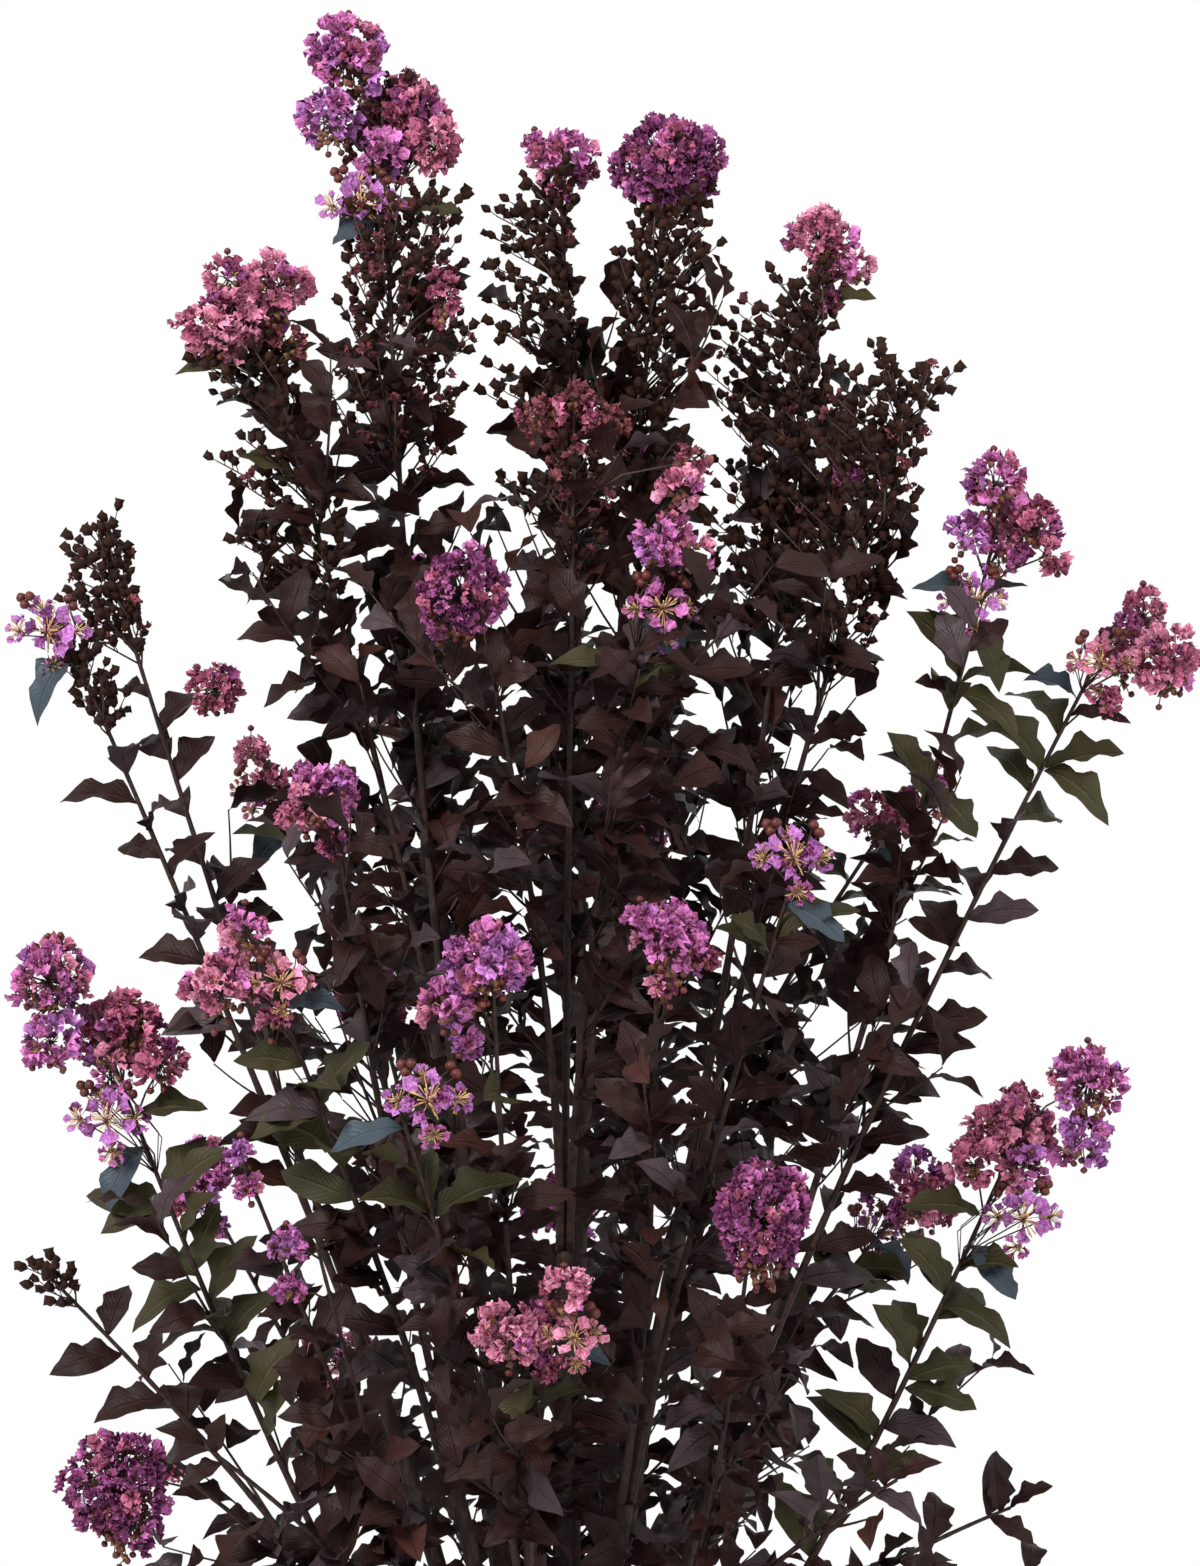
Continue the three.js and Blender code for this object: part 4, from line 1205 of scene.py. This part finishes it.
TIP_BUDS = 0.7  # clusters higher up their head than this have a bud on top
UNDER = 6  # how far a cup is below its flower's foot
TAPER = ([-1, 0.1, 1], [0.5, 1, 0.95])  # heights on a cluster's ball, 1 high, and its width there
LUMP_DEPTH = 0.20
FLORET_REACHES = (0.86, 1.06)
FLORET_SIZES = (0.70, 1.08)
FLORET_SWAY = 0.34
CUPPED = 0.20  # share of the flowers whose cup is drawn
CUP_SIZE = 0.85
BUD_SIZE = 0.68
TOP_BUD_SIZE = 0.7
BUD_REACHES = (3, 9)
BUD_STALK = (0.7, 0.7)  # radii at the foot and at the tip, as the next three
FLORET_STALK = (0.9, 0.7)
CLUSTER_STALK = (1.5, 1.1)
OPEN_STALK = (1.2, 0.9)
STAMEN_RADII = (0.26, 0.20, 0.66)
STALK_START = 0.30  # how far down its head, as a share of the head's height, a cluster's stalk starts
FRONT, BACK = -1, 1

# How coarse or fine a tight cluster is: its flowers' spacing, how far their feet are sunk into its outline,
# the height on its ball where they give way to buds, and the shares of them with stamens and in bud.
Texture = namedtuple("Texture", "spacing sink lowest stamens buds")
COARSE = Texture(16.0, 12.5, -0.52, 0.16, 0.06)
FINE = Texture(13.0, 9.375, -0.728, 0.06, 0.02)
FINE_SIZE = 0.74
FINE_LAYOUTS = ("ball", "faded")

# Each layout of a head: its colours and its clusters. A cluster: place across, forward and up, and width, as
# shares of the head's width (up, of its height), how much taller than wide, and which of the colours. With 0
# for taller it is open: a single wide flower.
LAYOUTS = {
    "spray": (("orchid", "violet", "rose"), [
        (-0.2, 0, 0.83, 0.52, 1.1, 0), (-0.32, 0.1, 0.55, 0.42, 1, 1), (0.2, -0.05, 0.6, 0.46, 1.1, 2),
        (0.33, 0.08, 0.44, 0.4, 1, 2), (-0.02, 0.02, 0.4, 0.34, 1.2, 0), (0.04, -0.3, 0.56, 0.5, 1.2, 2),
        (-0.15, 0.12, 0.18, 0.5, 0, 1)]),
    "triple": (("pink", "rose"), [
        (0.12, 0, 0.8, 0.42, 1.1, 0), (-0.24, 0.05, 0.4, 0.56, 1.1, 0), (0.05, -0.26, 0.45, 0.46, 1.1, 1),
        (0.06, 0.05, 0.13, 0.28, 1, 1), (0.24, 0.12, 0.42, 0.5, 0, 0)]),
    "lean": (("pink", "rose"), [
        (0.14, 0, 0.68, 0.72, 1, 0), (-0.22, 0.08, 0.38, 0.5, 1, 0), (-0.04, 0.04, 0.1, 0.28, 1.2, 1),
        (0, -0.2, 0.45, 0.5, 1.1, 1)]),
    "pair": (("pink", "rose"), [
        (-0.2, 0.05, 0.34, 0.6, 1, 0), (0.22, 0.02, 0.66, 0.56, 0.9, 0), (0.02, -0.24, 0.45, 0.46, 1, 1),
        (-0.06, 0.06, 0.78, 0.36, 1, 1)]),
    "column": (("orchid", "orchid", "pink"), [
        (-0.05, 0, 0.88, 0.56, 0.9, 2), (-0.16, 0.06, 0.56, 0.56, 1.1, 0), (0.22, 0, 0.5, 0.52, 1.1, 0),
        (0.02, -0.22, 0.62, 0.5, 1.3, 1), (0.02, 0.14, 0.2, 0.72, 0, 1)]),
    "tuft": (("orchid", "rose"), [
        (0, 0, 0.56, 0.84, 1.05, 0), (0.34, 0.02, 0.44, 0.3, 1, 1), (-0.3, 0.04, 0.8, 0.34, 1, 0),
        (-0.06, 0.02, 0.12, 0.36, 1.2, 1)]),
    "ball": (("plum",), [(0, 0, 0.5, 1, 1.05, 0)]),
    "faded": (("faded", "faded"), [
        (-0.28, 0.05, 0.45, 0.46, 1, 0), (0.28, 0.05, 0.4, 0.46, 1, 0), (0, -0.2, 0.45, 0.46, 1, 1),
        (0.02, 0.05, 0.62, 0.4, 0.9, 1)]),
    "open": (("violet", "orchid"), [(0, 0.1, 0.48, 0.92, 0, 0), (0.1, -0.18, 0.5, 0.44, 1, 1)]),
    "slim": (("violet", "orchid"), [(0.05, 0, 0.76, 0.8, 1, 0), (-0.1, 0.02, 0.24, 0.66, 1, 1)]),
}

# Each head: its layout, which way its clusters lean across, how far it hangs across and up, its scale, and
# its colours where they aren't the layout's.
Head = namedtuple("Head", "layout side shift lift scale colours", defaults=(1, 0, -8, 1.0, None))
HEADS = {
    "tall_left": Head("spray", lift=-14),
    "upper_left": Head("pair", 1, -6, -11, 1.15),
    "tall_middle": Head("tuft", lift=0),
    "tall_right": Head("ball", 1, 0, -12, 1.03),
    "right_spire": Head("lean", -1, 10, -4, 1.1),
    "right_outer": Head("triple", -1, 31, -13, 1.2),
    "right_upper": Head("spray", 1, 10, -14, 1.1),
    "right_low": Head("spray", -1, 12, -12, 1.15),
    "front_right_low": Head("ball", 1, 8, -6, 0.88),
    "front_right": Head("open", 1, -5, 0, 0.85),
    "front_middle": Head("tuft", 1, 13, -2, 0.9),
    "front_high_left": Head("ball", 1, -14, -6, 0.95),
    "front_high_right": Head("column", 1, 14, -10, 1.08),
    "front_crown": Head("faded", 1, -2, -22, 0.85),
    "front_low": Head("triple", 1, -12, -24),
    "front_waist": Head("lean", 1, -20, -2, 0.95, ("orchid", "violet")),
    "front_lower_left": Head("open", 1, 30, -3, 0.95),
    "front_left_low": Head("slim", 1, 0, -4, 0.85),
    "front_left_lower": Head("slim", 1, -28, -12, 1.0, ("orchid", "violet")),
    "front_left": Head("tuft", -1, -12, -9, 0.88),
    "left_waist": Head("triple", 1, -16, -11, 1.08),
    "left_low": Head("spray", 1, 0, -10, 0.95),
    "left_lowest": Head("ball", 1, -54, -24, 0.97),
    "left_outer": Head("open", 1, -14, -10),
    "back_left_low": Head("lean", colours=("orchid", "violet")),
    "back_left_lowest": Head("tuft", colours=("pink", "rose")),
    "back_left": Head("triple", -1),
    "back_left_waist": Head("ball"),
    "back_left_high": Head("tuft"),
    "back_right_low": Head("spray"),
    "back_low": Head("tuft", -1, colours=("orchid", "violet")),
    "back_right": Head("triple"),
    "back_waist": Head("ball"),
    "back_crown": Head("lean", -1),
}

# Small withered side clusters: shoot, place across and up, width, how much taller than wide, colour.
SIDE_CLUSTERS = [
    ("left_capsules", -345, 1310, 54, 1.1, "rose"),
    ("tall_left", -118, 1700, 40, 1.6, "rose"),
    ("right_capsules", 282, 1520, 30, 1.0, "rose"),
    ("front_crown", 128, 1528, 40, 0.9, "faded"),
    ("upper_left", -268, 1648, 40, 1.1, "faded"),
]
SIDE_FORWARD = 12
SIDE_STALK = 45

PETALS = {  # claw colour darkened as painted shade, frill colour lightened as painted highlight
    "orchid": ((0.100, 0.005, 0.036), (0.86, 0.280, 0.68)),
    "violet": ((0.085, 0.008, 0.055), (0.72, 0.290, 0.76)),
    "pink": ((0.155, 0.010, 0.030), (0.98, 0.400, 0.59)),
    "rose": ((0.095, 0.008, 0.023), (0.70, 0.210, 0.36)),
    "plum": ((0.045, 0.004, 0.022), (0.43, 0.115, 0.315)),
    "faded": ((0.050, 0.014, 0.013), (0.29, 0.090, 0.110)),
}
MIXES = {  # shares of the petals' own colours in a cluster of each colour
    "orchid": {"orchid": 0.60, "violet": 0.16, "pink": 0.12, "rose": 0.12},
    "violet": {"violet": 0.62, "orchid": 0.26, "plum": 0.12},
    "pink": {"pink": 0.64, "rose": 0.24, "orchid": 0.12},
    "rose": {"rose": 0.70, "pink": 0.12, "plum": 0.18},
    "plum": {"plum": 0.72, "rose": 0.12, "orchid": 0.16},
    "faded": {"faded": 0.68, "rose": 0.32},
}

# An open cluster's flowers by place across and up and size, and its buds by place across, back and up.
OPEN_FLOWERS = [(0, 0, 1.0), (-0.66, 0.10, 0.55), (0.62, 0.12, 0.60), (0.12, -0.66, 0.55), (-0.1, 0.62, 0.5)]
OPEN_BUDS = [(-0.52, 0.0, 0.66), (-0.4, -0.1, 0.86), (-0.62, 0.1, 0.84), (0.6, 0.0, 0.62), (0.48, 0.1, 0.8)]
OPEN_WIDTH = 56
OPEN_FACING = (0.10, 0.95, 0.30)
BEHIND = 9  # how far the smaller flowers are behind the first


def floret_form(draws, claw, leans, twist):
    """Six crinkled petals on thin claws round Z, each with its own lean, twist, size and tone."""
    points, faces, marks = [], [], []
    out, half = np.array(BLADE).T[:, :, None]
    column = np.linspace(-1, 1, 4)
    flip = np.where(np.add.outer(np.arange(4), np.arange(4)) % 2, 1.0, -1.0)
    for petal in range(6):
        turn = math.radians(petal * 60 + draws.uniform(-PETAL_TURN, PETAL_TURN))
        radial = np.array([math.cos(turn), math.sin(turn), 0])
        aside = np.array([-math.sin(turn), math.cos(turn), 0])
        rise, lean = math.radians(draws.uniform(*PETAL_RISES)), math.radians(draws.uniform(*leans))
        stem = radial * math.sin(rise) + np.array([0, 0, math.cos(rise)])
        way = radial * math.sin(lean) + np.array([0, 0, math.cos(lean)])
        face = np.cross(aside, way)
        wrung = math.radians(draws.uniform(-twist, twist))
        across = aside * math.cos(wrung) + face * math.sin(wrung)
        face = face * math.cos(wrung) - aside * math.sin(wrung)
        size = draws.uniform(*PETAL_SIZES)
        rounding = PETAL_ROUNDING * column**2 * (out > BLADE[2][0])
        reach = size * (out - rounding + draws.uniform(-FRAYING, FRAYING, (4, 4)) * out / 9)
        frill = np.array(FRILL)[:, None] * flip * draws.uniform(*FRILL_SIZES, (4, 4))
        lift = -size * (frill + draws.uniform(*PETAL_CUPPING) * out**2)
        spread = size * half * column + draws.uniform(-SIDE_FRAYING, SIDE_FRAYING, (4, 4)) * (out > 0)
        blade = stem * claw + reach[..., None] * way + spread[..., None] * across + lift[..., None] * face
        start = len(points)
        points += [aside * side * 0.6 for side in (-1, 1)]
        points += [stem * (claw + 1) + aside * side for side in (1, -1)]
        points += list(blade.reshape(-1, 3))
        tone = draws.uniform()
        marks += [(tone, along, 0) for along in (0, 0, 0.2, 0.2)]
        marks += [(tone, 0.2 + 0.8 * row / 3, 0) for row in range(4) for _ in column]
        faces.append([start, start + 1, start + 2, start + 3])
        for row in range(3):
            for here in range(start + 4 + row * 4, start + 7 + row * 4):
                faces.append([here, here + 1, here + 5, here + 4])
    return Form(points, np.ravel(faces), np.full(len(faces), 4), marks)


def stamens_form(draws, count, reach):
    """Golden stamens that fan out and curl, each swollen at its tip."""
    turn = draws.uniform(0, 2 * math.pi, count)
    lean = np.radians(draws.uniform(5, 70, count))
    way = np.stack([np.sin(lean) * np.cos(turn), np.sin(lean) * np.sin(turn), np.cos(lean)], -1)
    reach = reach * draws.uniform(0.7, 1.1, (count, 1))
    tips = way * reach + draws.normal(0, 1.8, (count, 3))
    paths = bent_stalks(np.zeros(3), UP, tips, 0.5)
    return tubes(paths, np.tile(STAMEN_RADII, (count, 1)), STALK_SIDES)


def bud_form(draws):
    """A round bud with eight low ribs."""
    ribs = 1 + 0.05 * np.cos(np.arange(8) * np.pi)
    radii = np.array([1.2, 3.3, 4.7, 4.7, 2.9, 0.4]) * draws.uniform(0.9, 1.1)
    return turned_form(np.array([0, 1.2, 3.4, 6.0, 8.4, 9.8]), radii, 8, np.tile(ribs, (1, 6, 1)))


def cup_form(draws):
    """The calyx: a ribbed cup with its lobes turned out."""
    turn = np.linspace(0, 2 * np.pi, 6, endpoint=False)
    lobes = 1 + 0.3 * np.cos(turn * 3) * np.array([0, 0, 0.7, 1])[:, None]
    radii = np.array([0.9, 3.0, 3.8, 4.6]) * draws.uniform(0.9, 1.1)
    return turned_form(np.array([0, 2.2, 5.8, 7.4]), radii, 6, lobes[None])


def even_directions(count, draws):
    """Directions spread evenly over a ball, each a little off its place."""
    i = np.arange(count) + 0.5
    level = 1 - 2 * i / count
    turn = i * math.pi * (1 + 5**0.5) + draws.uniform(0, 6)
    ring = np.sqrt(1 - level**2)
    even = np.stack([ring * np.cos(turn), ring * np.sin(turn), level], -1)
    return unit(even + draws.normal(0, 0.35 / math.sqrt(max(count, 4)) * 2, (count, 3)))


draws = np.random.default_rng(29)
florets = {colour: Batch() for colour in PETALS}
open_flowers = {colour: Batch() for colour in PETALS}
tufts, sprays, buds, cups = Batch(), Batch(), Batch(), Batch()


def add_buds(feet, axes, size, starts, number):
    """Round buds, each on a stalk from its start."""
    buds.add(frame_along(axes, feet, size, 0.0), number)
    add_stalks(starts, axes, feet, BUD_STALK, 0.5, number)


def tight_cluster(centre, radii, colour, number, stem_foot, texture):
    """Flowers all over a lumpy ball that tapers to its foot, facing out, with stamens, cups and buds."""
    inner = np.maximum(radii - texture.sink, 3)
    area = 4 * math.pi * (inner[0] * inner[0] * inner[2]) ** (2 / 3)
    count = max(8, round(area / texture.spacing**2))
    outward = even_directions(count, draws)
    waves = np.sin(outward @ draws.normal(0, 3.2, (3, 3)) + draws.uniform(0, 6, 3))
    lumps = 1 + LUMP_DEPTH * waves.sum(-1, keepdims=True) / 1.6
    taper = np.interp(outward[:, 2], *TAPER)[:, None] * [1, 1, 0] + UP
    feet = centre + outward * inner * taper * lumps * draws.uniform(*FLORET_REACHES, (count, 1))
    axes = unit(outward / inner * inner.mean() + draws.normal(0, FLORET_SWAY, (count, 3)) + 0.10 * UP)
    flowers = outward[:, 2] > texture.lowest
    scale = FINE_SIZE if texture is FINE else min(1.0, 0.6 + radii[0] / 80)
    size = draws.uniform(*FLORET_SIZES, count) * scale
    frames = frame_along(axes, feet, size, draws.uniform(0, 360, count))
    colours = draws.choice(list(MIXES[colour]), count, p=list(MIXES[colour].values()))
    for name in PETALS:
        florets[name].add(frames[flowers & (colours == name)], number)
    tufted = draws.uniform(0, 1, count) < texture.stamens
    tufts.add(frames[tufted & flowers], number)
    inward = feet - axes * UNDER
    add_stalks(centre, axes, inward, FLORET_STALK, 0.3, number)
    cupped = (draws.uniform(0, 1, count) < CUPPED) | (outward[:, 2] < -0.2)
    cups.add(frame_along(axes, inward, CUP_SIZE, draws.uniform(0, 360, count))[cupped], number)
    shut = ~flowers | (draws.uniform(0, 1, count) < texture.buds)
    few = int(shut.sum())
    shift = axes[shut] * draws.uniform(*BUD_REACHES, (few, 1)) + draws.normal(0, 3, (few, 3))
    add_buds(feet[shut] + shift, unit(axes[shut] + 0.3 * UP), BUD_SIZE, inward[shut], number)
    add_stalks(stem_foot, unit(unit(centre - stem_foot) + 0.6 * UP), centre, CLUSTER_STALK, 0.45, number)


def open_cluster(centre, width, colour, number, stem_foot, facing, side):
    """One wide open flower with its stamens, smaller ones round it, and groups of buds above."""
    front = unit(np.array([side, facing, 1]) * OPEN_FACING)
    mix = list(MIXES[colour])
    for i, (across, up, share) in enumerate(OPEN_FLOWERS):
        foot = centre + np.array([across * side, 0, up]) * width * 0.5 - front * (BEHIND if i else 0)
        axis = unit(front + np.array([across * side, 0, up]) * 0.9 + draws.normal(0, 0.1, 3))
        size = share * width / OPEN_WIDTH
        frames = frame_along(axis, foot, size, draws.uniform(0, 360, 1))
        open_flowers[mix[0] if i % 3 else mix[i % 2]].add(frames, number)
        under = foot - axis * UNDER
        cups.add(frame_along(axis, under, 1, 0.0), number)
        add_stalks(stem_foot, unit(axis + 0.5 * UP), under, OPEN_STALK, 0.4, number)
        sprays.add(frame_along(axis, foot, size * (1.2 if i else 1), 0.0), number)
    across, back, up = np.array(OPEN_BUDS).T
    feet = centre + np.stack([across * side, -back * facing, up], -1) * width * 0.5
    axes = unit(np.stack([across * side, back * 0, up + 0.3], -1))
    add_buds(feet, axes, 1, stem_foot, number)


for shoot in flowering:
    head = HEADS[shoot.name]
    own_colours, clusters = LAYOUTS[head.layout]
    colours = head.colours or own_colours
    facing = BACK if shoot.name.startswith("back") else FRONT
    texture = FINE if head.layout in FINE_LAYOUTS else COARSE
    for across, forward, up, width, tall, colour in clusters:
        level = shoot.curve.length - (1 - up) * shoot.bloom_height
        base, lower = shoot.curve.at(np.array([level, level - STALK_START * shoot.bloom_height]))
        place_in_head = np.array([across * head.side, forward * facing, 0])
        centre = base + place_in_head * shoot.bloom_width * head.scale + [head.shift, 0, head.lift]
        size = width * shoot.bloom_width * head.scale
        if tall:
            stretch = tall * shoot.bloom_height / shoot.bloom_width if head.layout == "ball" else tall
            radii = np.array([size / 2, size / 2, size / 2 * stretch])
            tight_cluster(centre, radii, colours[colour], shoot.number, lower, texture)
            if up > TIP_BUDS:
                add_buds(centre + UP * (radii[2] - 2), UP, TOP_BUD_SIZE, centre, shoot.number)
        else:
            open_cluster(centre, size, colours[colour], shoot.number, lower, facing, head.side)

for name, x, z, width, tall, colour in SIDE_CLUSTERS:
    stem = shoot_by_name[name].curve.points
    level, lower = (stem[np.abs(stem[:, 2] - z + below).argmin()] for below in (0, SIDE_STALK))
    centre = np.array([x, level[1] - SIDE_FORWARD, z])
    radii = np.array([width, width, width * tall]) / 2
    tight_cluster(centre, radii, colour, shoot_by_name[name].number, lower, FINE)

for frames, numbers in zip(withered.frames, withered.numbers):
    florets["faded"].add(frames, numbers)


def petal_finish(shaded_deep, pale):
    """Crinkled petal: painted shade at the claw, painted highlights at the frill and crinkles, own tone."""
    def dress(shade):
        petal, along, tone = mark_parts(shade)
        crinkle = shade.noise(330.0, 3.0)
        # The run along the petal and the crinkle noise paint shade and highlight; petal and tone are its own
        # tone.
        share = along * 0.55 + crinkle.stepped(0.30, 0.72) * 0.50 + petal * 0.36 + tone * 0.15 + -0.41
        base = share.mixed(shaded_deep, pale)
        return {"Base Color": base, "Roughness": 0.62 + crinkle * 0.2, "Normal": crinkle.bumped(0.0016)}
    return dress


def marked_finish(dark, pale, share, roughness):
    """From a dark to a pale colour by share(along, tone), with each part's tone in its roughness too."""
    def dress(shade):
        _, along, tone = mark_parts(shade)
        return {"Base Color": share(along, tone).mixed(dark, pale), "Roughness": roughness + tone * 0.1}
    return dress


def stalk_finish(shade):
    grain = shade.noise(240.0)
    base = grain.mixed((0.018, 0.007, 0.005), (0.055, 0.022, 0.015))
    return {"Base Color": base, "Roughness": 0.55 + grain * 0.2}


floret_forms = [floret_form(draws, *FLORET) for _ in range(FLORET_SHAPES)]
open_forms = [floret_form(draws, *OPEN_FLORET) for _ in range(OPEN_SHAPES)]
for colour, (shaded_deep, pale) in PETALS.items():
    finish = new_material(f"petal_{colour}", petal_finish(shaded_deep, pale), IOR=1.16)
    dealt(f"petals_{colour}", floret_forms, florets[colour], finish)
    if open_flowers[colour].frames:
        dealt(f"open_petals_{colour}", open_forms, open_flowers[colour], finish)

stamen_finish = marked_finish(
    (0.40, 0.22, 0.14), (0.50, 0.32, 0.13), lambda along, tone: along.stepped(0.45, 0.85), 0.55
)
bud_finish = marked_finish(
    (0.046, 0.0085, 0.0075), (0.110, 0.024, 0.017), lambda along, tone: along * 0.5 + tone * 0.5, 0.35
)
cup_finish = marked_finish(
    (0.075, 0.028, 0.018), (0.24, 0.10, 0.045), lambda along, tone: along * 0.6 + tone * 0.3, 0.5
)
golden = new_material("golden_stamen", stamen_finish)
bud_red = new_material("bud_red", bud_finish, IOR=1.36)
cup_brown = new_material("cup_brown", cup_finish)
small_parts = [
    ("stamen_tufts", [stamens_form(draws, 5, 12) for _ in range(SMALL_SHAPES)], tufts, golden),
    ("stamen_sprays", [stamens_form(draws, 32, 17) for _ in range(SMALL_SHAPES)], sprays, golden),
    ("flower_buds", [bud_form(draws) for _ in range(SMALL_SHAPES)], buds, bud_red),
    ("flower_cups", [cup_form(draws) for _ in range(SMALL_SHAPES)], cups, cup_brown),
]
for name, forms, batch, finish in small_parts:
    dealt(name, forms, batch, finish)

stalk_brown = new_material("stalk_brown", stalk_finish)
stalk_form = tubes(np.concatenate(stalks.frames), np.concatenate(stalk_radii), STALK_SIDES)
stalk_nodes = nodes_of(np.concatenate(stalks.numbers))
new_piece("flower_and_capsule_stalks", stalk_form, stalk_brown, stalk_nodes)
